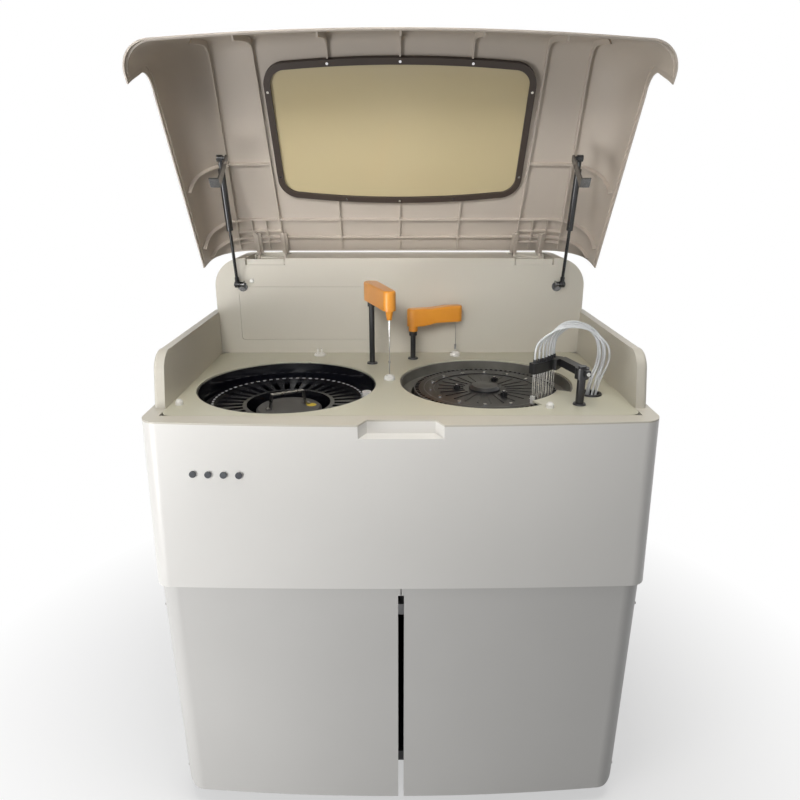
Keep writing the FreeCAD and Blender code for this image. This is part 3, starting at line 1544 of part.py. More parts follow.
def build():
    save("base_frame", Part.makeCompound([make_base_frame(), make_bottom_pan(), make_door_hinge_pins()]))
    save("levelling_feet", make_levelling_feet())
    save("equipment_shelf", make_equipment_shelf())
    save("shelf_modules", make_shelf_modules())
    save("fluid_bottles", make_fluid_bottles())
    save("side_panels", both_sides(make_side_panel()))
    save("rear_panel", make_rear_panel())
    save("mains_inlet", make_mains_inlet())
    save("upper_front_panel", make_upper_front_panel())
    save("indicator_lights", make_indicator_lights())
    door = make_right_door()
    save("right_door", door)
    save("left_door", mirrored(door))
    save("deck_plate", make_deck_plate())
    save("deck_surround", make_deck_surround())
    save("wall_access_panel", make_wall_access_panel())
    save("wash_wells", Part.makeCompound([make_well(probe_well().x, probe_well().y),
                                          make_well(stirrer_well().x, stirrer_well().y)]))
    save("clip_well", make_clip_well())
    save("post_bushes", make_post_bushes())
    save("tube_grommet", make_tube_grommet())
    save("lid_bumpers", make_lid_bumpers())
    save("wall_strut_brackets", both_sides(make_wall_strut_bracket()))
    save("hinge_brackets", both_sides(make_hinge_bracket()))

    lid = make_lid_shell()
    save("lid_shell", opened(lid))
    save("window_pane", opened(make_window_pane()))
    save("window_gasket", opened(make_window_gasket()))
    save("gasket_screws", opened(make_gasket_screws()))
    save("hinge_arms", opened(both_sides(make_hinge_arms())))
    save("lid_strut_brackets", opened(both_sides(make_lid_strut_bracket(lid))))
    rod = make_strut_rod()
    strut = make_strut_cylinder()
    save("right_strut_rod", rod)
    save("left_strut_rod", mirrored(rod))
    save("right_strut_cylinder", strut)
    save("left_strut_cylinder", mirrored(strut))

    save("reagent_tub", make_reagent_tub())
    save("reaction_tub", make_reaction_tub())
    save("drive_motors", Part.makeCompound([
        drive_motor(reagent_x, reagent_y, -reagent_tub_depth - 4),
        drive_motor(reaction_x, reaction_y, -reaction_tub_depth - 4)]))
    save("reagent_rotor", make_reagent_rotor())
    save("reagent_cover", make_reagent_cover())
    save("carousel_handle", make_carousel_handle())
    save("sample_cup", make_sample_cup())
    save("reaction_rotor", make_reaction_rotor())
    save("cuvette_ring", make_cuvette_ring())
    save("ring_screws", make_ring_screws())
    save("reaction_hub_cap", make_reaction_hub_cap())
    save("thumb_screws", make_thumb_screws())

    save("probe_post", make_probe_post())
    save("probe_arm_cover", make_probe_arm_cover())
    save("probe_needle", make_probe_needle())
    save("stirrer_post", make_stirrer_post())
    save("stirrer_arm_cover", make_stirrer_arm_cover())
    save("stirrer_needle", make_stirrer_needle())
    wash_turn = 45.0
    save("lift_frames", Part.makeCompound([
        lift_frame(probe_post_x, probe_post_y, 0, post_radius + 2.3),
        lift_frame(stirrer_post_x, stirrer_post_y, 0, post_radius + 2.3),
        lift_frame(wash_post_x, wash_post_y, wash_turn, wash_post_radius + 2.3)]))
    save("probe_carriage", lift_carriage(probe_post_x, probe_post_y, 0, carriage_z + 6))
    save("stirrer_carriage", lift_carriage(stirrer_post_x, stirrer_post_y, 0, carriage_z + 6))
    save("wash_post", Part.makeCompound([
        make_wash_post(), lift_carriage(wash_post_x, wash_post_y, wash_turn, carriage_z + 6)]))
    save("wash_bracket", make_wash_bracket())
    save("wash_manifold", make_wash_manifold())
    save("wash_needles", make_wash_needles())
    save("wash_tubes", make_wash_tubes())


build()
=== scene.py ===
import bmesh
import bpy
import math
from mathutils import Matrix, Vector


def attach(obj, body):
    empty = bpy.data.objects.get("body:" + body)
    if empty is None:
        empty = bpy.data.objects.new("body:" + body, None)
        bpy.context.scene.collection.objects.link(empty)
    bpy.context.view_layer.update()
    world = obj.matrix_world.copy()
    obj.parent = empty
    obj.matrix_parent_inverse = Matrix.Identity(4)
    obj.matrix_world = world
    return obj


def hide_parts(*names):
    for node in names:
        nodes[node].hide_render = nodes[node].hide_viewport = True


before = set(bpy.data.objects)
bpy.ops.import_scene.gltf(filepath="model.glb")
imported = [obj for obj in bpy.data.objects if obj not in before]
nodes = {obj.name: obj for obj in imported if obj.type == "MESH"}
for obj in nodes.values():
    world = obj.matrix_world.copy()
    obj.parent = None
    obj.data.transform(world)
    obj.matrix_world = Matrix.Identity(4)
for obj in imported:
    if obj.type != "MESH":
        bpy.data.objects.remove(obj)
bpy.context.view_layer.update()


# The camera stands a little over a metre in front of the cabinet, above the deck, and
# looks down into it. The lens is that of a phone held upright.
view = bpy.data.cameras.new("photo_camera")
view.lens = 30.03
view.sensor_width = 36.0
camera = bpy.data.objects.new("photo_camera", view)
camera.location = (-0.0069, -1.3717, 1.2393)
camera.rotation_euler = (math.radians(71.79), 0, math.radians(-0.27))
bpy.context.scene.collection.objects.link(camera)
bpy.context.scene.camera = camera
bpy.context.scene.view_settings.view_transform = "Standard"


# The wash tubes are clear flexible tubing. They are pushed onto the manifold's fittings,
# rise in one loose arch to the right, and drop through the grommet in the deck.
deck_front = -0.325
deck_level = 0.85
reaction_x = 173
reaction_y = 260
tube_count = 7
tube_radius = 0.002
fitting_circle = 139.5416
fitting_pitch = 4.5
fitting_angles = [-30.785 - fitting_pitch * index for index in range(tube_count)]
fitting_top = 76.1
grommet_x = 363.5
grommet_y = 172
grommet_circle = 9
arch_top = 141
tube_end = -70


def deck_place(x, y, z):
    return Vector((x / 1000, y / 1000 + deck_front, z / 1000 + deck_level))


def tube_route(index):
    fitting_angle = math.radians(fitting_angles[index])
    start_x = reaction_x + fitting_circle * math.cos(fitting_angle)
    start_y = reaction_y + fitting_circle * math.sin(fitting_angle)
    hole_angle = math.radians(360 / tube_count * index)
    end_x = grommet_x + grommet_circle * math.cos(hole_angle)
    end_y = grommet_y + grommet_circle * math.sin(hole_angle)
    spread = index - 3
    peak = arch_top - 2.5 * abs(spread)
    bulge = 14 + 1.6 * spread
    run_x = end_x - start_x
    run_y = end_y - start_y
    return [deck_place(start_x, start_y, fitting_top),
            deck_place(start_x - 2, start_y, 100),
            deck_place(start_x + 0.12 * run_x, start_y + 0.12 * run_y, peak - 16),
            deck_place(start_x + 0.42 * run_x, start_y + 0.42 * run_y, peak + 3),
            deck_place(start_x + 0.78 * run_x + 0.4 * bulge, start_y + 0.78 * run_y, peak - 3),
            deck_place(end_x + bulge, end_y - 6, peak - 34),
            deck_place(end_x + bulge + 3, end_y - 4, 66),
            deck_place(end_x + 0.4 * bulge, end_y - 1, 30),
            deck_place(end_x, end_y, -14),
            deck_place(end_x, end_y, tube_end)]


tubing = bpy.data.materials.new("clear_tubing")
tubing.use_nodes = True
tree = tubing.node_tree
skin = tree.nodes["Principled BSDF"]
skin.inputs["Roughness"].default_value = 0.22
skin.inputs["Transmission Weight"].default_value = 0.3
skin.inputs["IOR"].default_value = 1.4
where = tree.nodes.new("ShaderNodeTexCoord")
cloud = tree.nodes.new("ShaderNodeTexNoise")
cloud.inputs["Scale"].default_value = 60
tint = tree.nodes.new("ShaderNodeValToRGB")
tint.color_ramp.elements[0].color = (0.74, 0.77, 0.8, 1)
tint.color_ramp.elements[1].color = (0.92, 0.93, 0.94, 1)
tree.links.new(where.outputs["Object"], cloud.inputs["Vector"])
tree.links.new(cloud.outputs["Fac"], tint.inputs["Fac"])
tree.links.new(tint.outputs["Color"], skin.inputs["Base Color"])

for index in range(tube_count):
    route = tube_route(index)
    line = bpy.data.curves.new("wash_tube_%d" % index, "CURVE")
    line.dimensions = "3D"
    spline = line.splines.new("NURBS")
    spline.points.add(len(route) - 1)
    for point, place in zip(spline.points, route):
        point.co = (place[0], place[1], place[2], 1)
    spline.order_u = 3
    spline.use_endpoint_u = True
    spline.resolution_u = 8
    line.bevel_depth = tube_radius
    line.bevel_resolution = 3
    line.use_fill_caps = True
    tube = bpy.data.objects.new("wash_tube_%d" % index, line)
    bpy.context.scene.collection.objects.link(tube)
    line.materials.append(tubing)
    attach(tube, "wash_head")
    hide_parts("wash_tubes")


def moulded(name, pale, deep, roughness, grain=900.0, relief=0.02, drift=3.0, coat=0.0):
    material = bpy.data.materials.new(name)
    material.use_nodes = True
    tree = material.node_tree
    skin = tree.nodes["Principled BSDF"]
    skin.inputs["Coat Weight"].default_value = coat
    skin.inputs["Coat Roughness"].default_value = 0.12
    where = tree.nodes.new("ShaderNodeTexCoord")
    cloud = tree.nodes.new("ShaderNodeTexNoise")
    cloud.inputs["Scale"].default_value = drift
    cloud.inputs["Detail"].default_value = 3
    tint = tree.nodes.new("ShaderNodeValToRGB")
    tint.name = "tint"
    tint.color_ramp.elements[0].position = 0.3
    tint.color_ramp.elements[0].color = (*deep, 1)
    tint.color_ramp.elements[1].position = 0.7
    tint.color_ramp.elements[1].color = (*pale, 1)
    tree.links.new(where.outputs["Object"], cloud.inputs["Vector"])
    tree.links.new(cloud.outputs["Fac"], tint.inputs["Fac"])
    tree.links.new(tint.outputs["Color"], skin.inputs["Base Color"])
    sheen = tree.nodes.new("ShaderNodeMapRange")
    sheen.inputs["To Min"].default_value = roughness - 0.05
    sheen.inputs["To Max"].default_value = roughness + 0.05
    tree.links.new(cloud.outputs["Fac"], sheen.inputs["Value"])
    tree.links.new(sheen.outputs["Result"], skin.inputs["Roughness"])
    peel = tree.nodes.new("ShaderNodeTexNoise")
    peel.inputs["Scale"].default_value = grain
    peel.inputs["Detail"].default_value = 2
    bump = tree.nodes.new("ShaderNodeBump")
    bump.inputs["Strength"].default_value = relief
    bump.inputs["Distance"].default_value = 0.001
    tree.links.new(where.outputs["Object"], peel.inputs["Vector"])
    tree.links.new(peel.outputs["Fac"], bump.inputs["Height"])
    tree.links.new(bump.outputs["Normal"], skin.inputs["Normal"])
    return material


def dress(material, *names):
    for name in names:
        node = nodes[name]
        node.data.materials.clear()
        node.data.materials.append(material)


frame_paint = moulded("frame_paint", pale=(0.10, 0.10, 0.105), deep=(0.08, 0.08, 0.085),
                      roughness=0.5)
dress(frame_paint, "base_frame")
sole_rubber = moulded("sole_rubber", pale=(0.03, 0.03, 0.032), deep=(0.016, 0.016, 0.018),
                      roughness=0.6, grain=500, relief=0.05, drift=20)
dress(sole_rubber, "levelling_feet")


# The shelf inside is zinc-plated sheet, and so are the lift frames and their carriages.
# The power supply and pumps stand on the shelf, the canisters on the pan below it.
def bright_metal(name, pale, deep, roughness, scale=80.0):
    material = bpy.data.materials.new(name)
    material.use_nodes = True
    tree = material.node_tree
    skin = tree.nodes["Principled BSDF"]
    skin.inputs["Metallic"].default_value = 1.0
    where = tree.nodes.new("ShaderNodeTexCoord")
    cloud = tree.nodes.new("ShaderNodeTexNoise")
    cloud.inputs["Scale"].default_value = scale
    tint = tree.nodes.new("ShaderNodeValToRGB")
    tint.color_ramp.elements[0].color = (*deep, 1)
    tint.color_ramp.elements[1].color = (*pale, 1)
    sheen = tree.nodes.new("ShaderNodeMapRange")
    sheen.inputs["To Min"].default_value = roughness - 0.04
    sheen.inputs["To Max"].default_value = roughness + 0.08
    tree.links.new(where.outputs["Object"], cloud.inputs["Vector"])
    tree.links.new(cloud.outputs["Fac"], tint.inputs["Fac"])
    tree.links.new(cloud.outputs["Fac"], sheen.inputs["Value"])
    tree.links.new(tint.outputs["Color"], skin.inputs["Base Color"])
    tree.links.new(sheen.outputs["Result"], skin.inputs["Roughness"])
    return material


zinc = bright_metal("zinc_plate", pale=(0.62, 0.62, 0.63), deep=(0.50, 0.50, 0.51),
                    roughness=0.3)
dress(zinc, "equipment_shelf", "shelf_modules", "lift_frames", "probe_carriage",
      "stirrer_carriage")
canister_plastic = moulded("canister_plastic", pale=(0.78, 0.78, 0.74), deep=(0.70, 0.70, 0.66),
                           roughness=0.35, grain=300, relief=0.03, drift=12)
dress(canister_plastic, "fluid_bottles")


# The lower skins are sprayed steel sheet in a cooler grey than the upper panel, with
# a mains socket of black plastic let into the one at the back.
door_paint = moulded("door_paint", pale=(0.60, 0.59, 0.57), deep=(0.575, 0.565, 0.545),
                     roughness=0.36)
dress(door_paint, "left_door", "right_door", "side_panels", "rear_panel")
socket_plastic = moulded("socket_plastic", pale=(0.03, 0.03, 0.032), deep=(0.016, 0.016, 0.018),
                         roughness=0.42, grain=500, relief=0.05, drift=20)
dress(socket_plastic, "mains_inlet")


# The upper front panel is one wide moulding in warm white, with rounded corners and a
# dished recess for the fingers. Four small status lamps are let into it.
front_paint = moulded("front_panel_paint", pale=(0.76, 0.745, 0.715), deep=(0.725, 0.71, 0.68),
                      roughness=0.34)
dress(front_paint, "upper_front_panel")
lamp_lens = moulded("lamp_lens", pale=(0.10, 0.11, 0.12), deep=(0.05, 0.05, 0.06),
                    roughness=0.25, grain=400, relief=0.02, drift=40)
dress(lamp_lens, "indicator_lights")


# The surround is moulded in warm beige plastic with a fine leathery grain. Its walls
# carry the lid's hinges and struts, and a flat hatch closes the opening in its back wall.
surround_plastic = moulded("surround_plastic", pale=(0.58, 0.55, 0.48), deep=(0.55, 0.52, 0.45),
                           roughness=0.42, grain=700, relief=0.06)
dress(surround_plastic, "deck_surround", "wall_access_panel", "hinge_brackets")


# The deck is a separate tray of the same plastic, a shade more yellow, with the wells,
# bushes and openings let into it. A domed plug closes a spare hole at its front right.
deck_plastic = moulded("deck_plastic", pale=(0.585, 0.57, 0.46), deep=(0.55, 0.535, 0.43),
                       roughness=0.36, grain=700, relief=0.05)
dress(deck_plastic, "deck_plate")
white_plastic = moulded("white_plastic", pale=(0.80, 0.79, 0.76), deep=(0.72, 0.71, 0.68),
                        roughness=0.4, grain=400, relief=0.02, drift=40)
dress(white_plastic, "wash_wells", "clip_well", "lid_bumpers", "sample_cup")


def finish_piece(form, name, body, material):
    bmesh.ops.recalc_face_normals(form, faces=form.faces)
    shape = bpy.data.meshes.new(name)
    form.to_mesh(shape)
    form.free()
    shape.materials.append(material)
    piece = bpy.data.objects.new(name, shape)
    bpy.context.scene.collection.objects.link(piece)
    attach(piece, body)


def spun_piece(name, profile, centre, body, material, steps=32, smooth=True):
    form = bmesh.new()
    points = [form.verts.new((radius / 1000, 0, height / 1000)) for radius, height in profile]
    for one, two in zip(points, points[1:]):
        form.edges.new((one, two))
    bmesh.ops.spin(form, geom=form.verts[:] + form.edges[:], axis=(0, 0, 1), cent=(0, 0, 0),
                   angle=math.tau, steps=steps, use_merge=True)
    bmesh.ops.remove_doubles(form, verts=form.verts, dist=0.00001)
    bmesh.ops.translate(form, verts=form.verts, vec=deck_place(*centre))
    for face in form.faces:
        face.smooth = smooth
    finish_piece(form, name, body, material)


plug_plastic = moulded("plug_plastic", pale=(0.66, 0.62, 0.52), deep=(0.60, 0.56, 0.46),
                       roughness=0.4, grain=400, relief=0.02, drift=40)
plug_dome = [(0, 3.0), (2.4, 2.6), (4.0, 1.4), (4.6, 0.0), (4.6, -0.4), (0, -0.4)]
plug_centre = (272, 99, 0)
spun_piece("deck_plug", plug_dome, plug_centre, "cabinet", plug_plastic, steps=24)


# The left tub is glossy black plastic, pressed into the deck, and its rotor is glossy
# too. A low fence stands on the rotor, with a painted highlight, a white dash, for each of its
# places.
reagent_x = -226
reagent_y = 238
place_count = 64
glint_dash_share = 0.46
glint_dash_foot = -30.6
fence_inner = 147.4
fence_outer = 151.4
fence_foot = -38.2
fence_top = -30.2
tub_gloss = moulded("tub_gloss", pale=(0.008, 0.009, 0.013), deep=(0.004, 0.004, 0.007),
                    roughness=0.1, grain=300, relief=0.01, drift=8, coat=0.3)
dress(tub_gloss, "reagent_tub")
rotor_gloss = moulded("rotor_gloss", pale=(0.010, 0.010, 0.013), deep=(0.005, 0.005, 0.007),
                      roughness=0.2, grain=300, relief=0.02, drift=20, coat=0.2)
dress(rotor_gloss, "reagent_rotor")

painted_glint_dashes = moulded("painted_glint_dashes", pale=(0.012, 0.012, 0.014), deep=(0.007, 0.007, 0.009),
                      roughness=0.25, grain=300, relief=0.02, drift=20)
tree = painted_glint_dashes.node_tree
middle = deck_place(reagent_x, reagent_y, 0)
where = tree.nodes.new("ShaderNodeTexCoord")
centred = tree.nodes.new("ShaderNodeMapping")
centred.inputs["Location"].default_value = (-middle.x, -middle.y, 0)
split = tree.nodes.new("ShaderNodeSeparateXYZ")
angle = tree.nodes.new("ShaderNodeMath")
angle.operation = "ARCTAN2"
count = tree.nodes.new("ShaderNodeMath")
count.operation = "MULTIPLY"
count.inputs[1].default_value = place_count / math.tau
cycle = tree.nodes.new("ShaderNodeMath")
cycle.operation = "FRACT"
dash = tree.nodes.new("ShaderNodeMath")
dash.operation = "LESS_THAN"
dash.inputs[1].default_value = glint_dash_share
height = tree.nodes.new("ShaderNodeMath")
height.operation = "GREATER_THAN"
height.inputs[1].default_value = deck_place(0, 0, glint_dash_foot).z
both = tree.nodes.new("ShaderNodeMath")
both.operation = "MULTIPLY"
blend = tree.nodes.new("ShaderNodeMix")
blend.data_type = "RGBA"
# The white of each dash is a painted highlight, standing for the glint on a slot edge.
blend.inputs["B"].default_value = (0.62, 0.63, 0.66, 1)
tree.links.new(where.outputs["Object"], centred.inputs["Vector"])
tree.links.new(centred.outputs["Vector"], split.inputs["Vector"])
tree.links.new(split.outputs["Y"], angle.inputs[0])
tree.links.new(split.outputs["X"], angle.inputs[1])
tree.links.new(angle.outputs["Value"], count.inputs[0])
tree.links.new(count.outputs["Value"], cycle.inputs[0])
tree.links.new(cycle.outputs["Value"], dash.inputs[0])
tree.links.new(split.outputs["Z"], height.inputs[0])
tree.links.new(dash.outputs["Value"], both.inputs[0])
tree.links.new(height.outputs["Value"], both.inputs[1])
tree.links.new(both.outputs["Value"], blend.inputs["Factor"])
tree.links.new(tree.nodes["tint"].outputs["Color"], blend.inputs["A"])
tree.links.new(blend.outputs["Result"], tree.nodes["Principled BSDF"].inputs["Base Color"])
fence_section = [(fence_inner, fence_foot), (fence_outer, fence_foot), (fence_outer, fence_top),
                 (fence_inner, fence_top), (fence_inner, fence_foot)]
spun_piece("place_fence", fence_section, (reagent_x, reagent_y, 0), "reagent_carousel",
           painted_glint_dashes, steps=128, smooth=False)


# The lid of the reagent rotor is matt grey plastic with a bail handle of bent steel strip.
# A round blank sticker lies on it, beside the handle.
cover_top = -47
sticker_radius = 10.0
sticker_offset = (44, 12)
cover_grey = moulded("cover_grey", pale=(0.085, 0.083, 0.08), deep=(0.06, 0.058, 0.056),
                     roughness=0.5, grain=500, relief=0.05, drift=20)
dress(cover_grey, "reagent_cover")
handle_steel = bright_metal("handle_steel", pale=(0.30, 0.29, 0.28), deep=(0.20, 0.195, 0.19),
                            roughness=0.26)
dress(handle_steel, "carousel_handle")
sticker_yellow = moulded("sticker_yellow", pale=(0.72, 0.55, 0.04), deep=(0.62, 0.46, 0.03),
                         roughness=0.5, grain=300, relief=0.04, drift=60)
sticker_section = [(0, 0.35), (9.4, 0.35), (sticker_radius, 0.1), (sticker_radius, -0.05),
                   (0, -0.05)]
sticker_centre = (reagent_x + sticker_offset[0], reagent_y + sticker_offset[1], cover_top)
spun_piece("cover_sticker", sticker_section, sticker_centre, "reagent_carousel",
           sticker_yellow, steps=40, smooth=False)


# The right tub is grey painted metal. Its rotor and cuvette ring are matt black plastic,
# held by bright screws, three star knobs and a domed cap over the hub. Fine grey rings
# lie on the rotor's steps.
line_width = 1.2
line_height = 0.25
line_places = [(104.6, -15.9), (124.5, -13.9), (143.6, -13.9)]
knob_circle = 58
knob_turns = (183, 303, 63)
knob_top = -6.0
tub_steel = moulded("tub_steel", pale=(0.19, 0.185, 0.165), deep=(0.13, 0.125, 0.11),
                    roughness=0.3, grain=500, relief=0.03, drift=20)
dress(tub_steel, "reaction_tub")
rotor_matt = moulded("rotor_matt", pale=(0.013, 0.013, 0.015), deep=(0.007, 0.007, 0.008),
                     roughness=0.3, grain=500, relief=0.05, drift=20)
dress(rotor_matt, "reaction_rotor", "cuvette_ring", "tube_grommet")
cap_black = moulded("cap_black", pale=(0.022, 0.022, 0.024), deep=(0.012, 0.012, 0.013),
                    roughness=0.3, grain=900, relief=0.03, drift=30)
dress(cap_black, "reaction_hub_cap", "thumb_screws", "drive_motors", "post_bushes")
chrome = bright_metal("chrome", pale=(0.86, 0.86, 0.87), deep=(0.74, 0.74, 0.76),
                      roughness=0.12)
dress(chrome, "ring_screws")

line_grey = moulded("ring_line", pale=(0.20, 0.20, 0.20), deep=(0.15, 0.15, 0.15),
                    roughness=0.35, grain=400, relief=0.02, drift=40)
for order, (radius, level) in enumerate(line_places):
    inner = radius - line_width / 2
    outer = radius + line_width / 2
    line_section = [(inner, level), (outer, level), (outer, level + line_height),
                    (inner, level + line_height), (inner, level)]
    spun_piece("ring_line_%d" % order, line_section, (reaction_x, reaction_y, 0),
               "reaction_carousel", line_grey, steps=96, smooth=False)
screw_dome = [(0, 1.2), (1.6, 1.1), (2.3, 0.5), (2.3, -0.05), (0, -0.05)]
for order, turn in enumerate(knob_turns):
    screw_centre = (reaction_x + knob_circle * math.cos(math.radians(turn)),
                    reaction_y + knob_circle * math.sin(math.radians(turn)), knob_top)
    spun_piece("knob_screw_%d" % order, screw_dome, screw_centre, "reaction_carousel",
               chrome, steps=16)


# The probe and the stirrer stand on anodised posts. Each arm is a glossy orange moulding
# over its lever, and carries a needle of polished steel.
arm_plastic = moulded("arm_orange", pale=(0.82, 0.33, 0.03), deep=(0.75, 0.28, 0.02),
                      roughness=0.3, grain=500, relief=0.03, drift=12, coat=0.2)
dress(arm_plastic, "probe_arm_cover", "stirrer_arm_cover")
black_anodised = moulded("black_anodised", pale=(0.022, 0.022, 0.024), deep=(0.012, 0.012, 0.013),
                         roughness=0.3, grain=1200, relief=0.03, drift=30)
dress(black_anodised, "probe_post", "stirrer_post")
dress(chrome, "probe_needle", "stirrer_needle")


# The wash station is black anodised plate on its own post, with the manifold's comb of
# steel needles. Cap screws stand between the tubes, a white screw clamps the bracket to
# the post, and a white block hangs on the last needle to dry the cuvettes.
manifold_top = 70
manifold_screw_circle = 142.6
manifold_screw_radius = 0.0021
block_size = (7.2, 5.8, 15.0)
block_level = -1.6
clamp_screw_radius = 0.0034
clamp_screw_place = (332.4, 86.6, 63)
dress(black_anodised, "wash_post", "wash_bracket", "wash_manifold")
dress(chrome, "wash_needles")

for index in range(tube_count - 1):
    turn = math.radians(fitting_angles[index] - fitting_pitch / 2)
    spot = deck_place(reaction_x + manifold_screw_circle * math.cos(turn),
                      reaction_y + manifold_screw_circle * math.sin(turn), manifold_top)
    form = bmesh.new()
    bmesh.ops.create_cone(form, cap_ends=True, segments=16, radius1=manifold_screw_radius,
                          radius2=manifold_screw_radius, depth=0.0042)
    top = max(form.faces, key=lambda face: face.calc_center_median().z)
    bmesh.ops.bevel(form, geom=list(top.edges), offset=0.0003, affect="EDGES", segments=2,
                    profile=0.5, material=-1)
    top = max(form.faces, key=lambda face: face.calc_center_median().z)
    bmesh.ops.inset_region(form, faces=[top], thickness=0.0007, depth=0)
    bmesh.ops.translate(form, verts=list(top.verts), vec=(0, 0, -0.0016))
    bmesh.ops.translate(form, verts=form.verts, vec=spot + Vector((0, 0, 0.002)))
    finish_piece(form, "manifold_screw_%d" % index, "wash_head", black_anodised)

turn = math.radians(fitting_angles[-1])
form = bmesh.new()
bmesh.ops.create_cube(form, size=0.001)
bmesh.ops.scale(form, verts=form.verts, vec=block_size)
bmesh.ops.bevel(form, geom=form.edges[:], offset=0.0007, affect="EDGES", segments=2,
                profile=0.5, material=-1)
bmesh.ops.rotate(form, verts=form.verts, cent=(0, 0, 0), matrix=Matrix.Rotation(turn, 3, "Z"))
bmesh.ops.translate(form, verts=form.verts, vec=deck_place(
    reaction_x + fitting_circle * math.cos(turn),
    reaction_y + fitting_circle * math.sin(turn), block_level))
finish_piece(form, "drying_block", "wash_head", white_plastic)

form = bmesh.new()
bmesh.ops.create_cone(form, cap_ends=True, segments=20, radius1=clamp_screw_radius,
                      radius2=clamp_screw_radius, depth=0.0026)
rim_edges = [edge for edge in form.edges if edge.calc_length() < 0.002]
bmesh.ops.bevel(form, geom=rim_edges, offset=0.0005, affect="EDGES", segments=2, profile=0.5,
                material=-1)
bmesh.ops.rotate(form, verts=form.verts, cent=(0, 0, 0),
                 matrix=Matrix.Rotation(math.radians(90), 3, "X"))
bmesh.ops.rotate(form, verts=form.verts, cent=(0, 0, 0),
                 matrix=Matrix.Rotation(math.radians(15), 3, "Z"))
bmesh.ops.translate(form, verts=form.verts, vec=deck_place(*clamp_screw_place))
finish_piece(form, "clamp_screw", "wash_head", white_plastic)


# The lid is one ribbed moulding of a warmer grey than the cabinet, and its hinge arms
# match it. Chromed screws hold a dark rubber gasket, and the gasket holds a window of
# yellow tinted plastic.
lid_plastic = moulded("lid_plastic", pale=(0.56, 0.50, 0.44), deep=(0.52, 0.465, 0.405),
                      roughness=0.44, grain=600, relief=0.08)
dress(lid_plastic, "lid_shell", "hinge_arms")
gasket_rubber = moulded("gasket_rubber", pale=(0.06, 0.044, 0.036), deep=(0.045, 0.033, 0.027),
                        roughness=0.5, grain=400, relief=0.1)
dress(gasket_rubber, "window_gasket")
dress(chrome, "gasket_screws")
pane_tint = bpy.data.materials.new("window_tint")
pane_tint.use_nodes = True
tree = pane_tint.node_tree
skin = tree.nodes["Principled BSDF"]
skin.inputs["Roughness"].default_value = 0.08
skin.inputs["Transmission Weight"].default_value = 0.12
where = tree.nodes.new("ShaderNodeTexCoord")
cloud = tree.nodes.new("ShaderNodeTexNoise")
cloud.inputs["Scale"].default_value = 2.5
tint = tree.nodes.new("ShaderNodeValToRGB")
tint.color_ramp.elements[0].color = (0.60, 0.50, 0.30, 1)
tint.color_ramp.elements[1].color = (0.68, 0.585, 0.37, 1)
tree.links.new(where.outputs["Object"], cloud.inputs["Vector"])
tree.links.new(cloud.outputs["Fac"], tint.inputs["Fac"])
tree.links.new(tint.outputs["Color"], skin.inputs["Base Color"])
dress(pane_tint, "window_pane")


# Two gas struts hold the lid up: black cylinders with black rods. Their ends turn on
# plated steel brackets, screwed to the lid and to the back wall.
strut_black = moulded("strut_black", pale=(0.018, 0.018, 0.02), deep=(0.010, 0.010, 0.011),
                      roughness=0.22, grain=900, relief=0.02, drift=30, coat=0.2)
dress(strut_black, "left_strut_cylinder", "right_strut_cylinder", "left_strut_rod",
      "right_strut_rod")
bracket_steel = bright_metal("bracket_steel", pale=(0.24, 0.24, 0.24), deep=(0.12, 0.12, 0.12),
                             roughness=0.2, scale=220)
dress(bracket_steel, "wall_strut_brackets", "lid_strut_brackets")


# The studio has a pale floor that runs out to white, under a white sky. Floor and sky are
# bright only to the camera, in a reflection or through glass, and dull as light.
floor_reach = 9
ground = bmesh.new()
bmesh.ops.create_grid(ground, x_segments=1, y_segments=1, size=floor_reach)
sheet = bpy.data.meshes.new("studio_floor")
ground.to_mesh(sheet)
ground.free()
studio = bpy.data.objects.new("studio_floor", sheet)
bpy.context.scene.collection.objects.link(studio)
floor_paint = bpy.data.materials.new("studio_floor")
floor_paint.use_nodes = True
tree = floor_paint.node_tree
skin = tree.nodes["Principled BSDF"]
skin.inputs["Roughness"].default_value = 0.9
path = tree.nodes.new("ShaderNodeLightPath")
pale_or_dull = tree.nodes.new("ShaderNodeMix")
pale_or_dull.data_type = "RGBA"
pale_or_dull.inputs["A"].default_value = (0.35, 0.35, 0.35, 1)
pale_or_dull.inputs["B"].default_value = (0.86, 0.86, 0.86, 1)
tree.links.new(path.outputs["Is Camera Ray"], pale_or_dull.inputs["Factor"])
tree.links.new(pale_or_dull.outputs["Result"], skin.inputs["Base Color"])
seen_or_mirrored = tree.nodes.new("ShaderNodeMath")
seen_or_mirrored.operation = "MAXIMUM"
seen_through = tree.nodes.new("ShaderNodeMath")
seen_through.operation = "MAXIMUM"
where = tree.nodes.new("ShaderNodeTexCoord")
reach = tree.nodes.new("ShaderNodeVectorMath")
reach.operation = "LENGTH"
fade = tree.nodes.new("ShaderNodeMapRange")
fade.inputs["From Min"].default_value = 0.55
fade.inputs["From Max"].default_value = 1.2
fade.inputs["To Min"].default_value = 0.5
fade.inputs["To Max"].default_value = 1.0
white_part = tree.nodes.new("ShaderNodeMath")
white_part.operation = "MULTIPLY"
glow = tree.nodes.new("ShaderNodeEmission")
glow.inputs["Color"].default_value = (1, 1, 1, 1)
mixed = tree.nodes.new("ShaderNodeMixShader")
tree.links.new(path.outputs["Is Camera Ray"], seen_or_mirrored.inputs[0])
tree.links.new(path.outputs["Is Glossy Ray"], seen_or_mirrored.inputs[1])
tree.links.new(seen_or_mirrored.outputs["Value"], seen_through.inputs[0])
tree.links.new(path.outputs["Is Transmission Ray"], seen_through.inputs[1])
tree.links.new(where.outputs["Object"], reach.inputs[0])
tree.links.new(reach.outputs["Value"], fade.inputs["Value"])
tree.links.new(fade.outputs["Result"], white_part.inputs[0])
tree.links.new(seen_through.outputs["Value"], white_part.inputs[1])
tree.links.new(white_part.outputs["Value"], mixed.inputs["Fac"])
tree.links.new(skin.outputs["BSDF"], mixed.inputs[1])
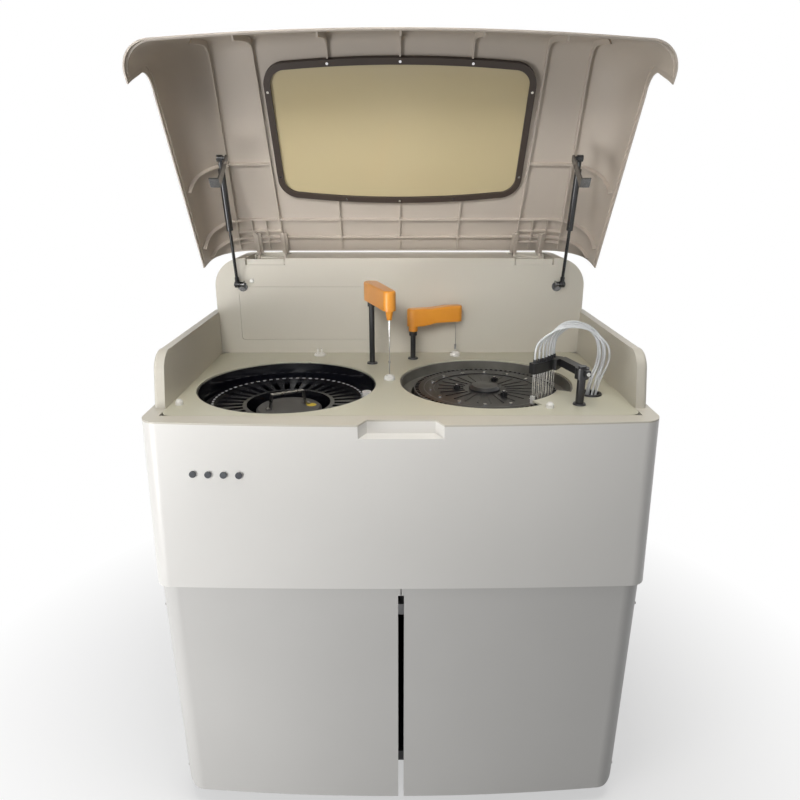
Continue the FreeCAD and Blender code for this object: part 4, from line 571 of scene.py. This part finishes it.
tree.links.new(glow.outputs["Emission"], mixed.inputs[2])
tree.links.new(mixed.outputs["Shader"], tree.nodes["Material Output"].inputs["Surface"])
sheet.materials.append(floor_paint)

world = bpy.data.worlds.new("studio")
bpy.context.scene.world = world
world.use_nodes = True
tree = world.node_tree
sky = tree.nodes["Background"]
sky.inputs["Color"].default_value = (0.95, 0.97, 1.0, 1)
sky.inputs["Strength"].default_value = 0.22
white = tree.nodes.new("ShaderNodeBackground")
white.inputs["Color"].default_value = (1, 1, 1, 1)
white.inputs["Strength"].default_value = 1.0
path = tree.nodes.new("ShaderNodeLightPath")
seen_or_mirrored = tree.nodes.new("ShaderNodeMath")
seen_or_mirrored.operation = "MAXIMUM"
seen_through = tree.nodes.new("ShaderNodeMath")
seen_through.operation = "MAXIMUM"
choose = tree.nodes.new("ShaderNodeMixShader")
tree.links.new(path.outputs["Is Camera Ray"], seen_or_mirrored.inputs[0])
tree.links.new(path.outputs["Is Glossy Ray"], seen_or_mirrored.inputs[1])
tree.links.new(seen_or_mirrored.outputs["Value"], seen_through.inputs[0])
tree.links.new(path.outputs["Is Transmission Ray"], seen_through.inputs[1])
tree.links.new(seen_through.outputs["Value"], choose.inputs["Fac"])
tree.links.new(sky.outputs["Background"], choose.inputs[1])
tree.links.new(white.outputs["Background"], choose.inputs[2])
tree.links.new(choose.outputs["Shader"], tree.nodes["World Output"].inputs["Surface"])


# Four soft boxes: a large one at the left like a window, one overhead, and two small
# ones high in front, which fill the inside of the raised lid and the deck.
def soft_box(name, place, aim, size, watts, colour, spread=180.0):
    lamp_data = bpy.data.lights.new(name, "AREA")
    lamp_data.shape = "RECTANGLE"
    lamp_data.size = size[0]
    lamp_data.size_y = size[1]
    lamp_data.energy = watts
    lamp_data.color = colour
    lamp_data.spread = math.radians(spread)
    light = bpy.data.objects.new(name, lamp_data)
    light.location = place
    light.rotation_euler = (Vector(aim) - Vector(place)).to_track_quat("-Z", "Y").to_euler()
    bpy.context.scene.collection.objects.link(light)


soft_box("window_light", (-1.4, -1.25, 0.38), (0.1, -0.2, 0.33), (0.7, 1.0), watts=22,
         colour=(1.0, 1.0, 1.0))
soft_box("ceiling_light", (0.1, -0.35, 3.0), (0, 0, 0.9), (1.6, 1.2), watts=38,
         colour=(1.0, 0.975, 0.93))
soft_box("lid_fill", (-0.5, -1.75, 1.95), (0, 0.05, 1.28), (0.5, 0.3), watts=1.5,
         colour=(1.0, 0.98, 0.95), spread=50.0)
soft_box("deck_fill", (-0.25, -1.7, 1.66), (-0.1, 0.32, 1.08), (0.9, 0.4), watts=0.75,
         colour=(1.0, 0.99, 0.97), spread=34.0)
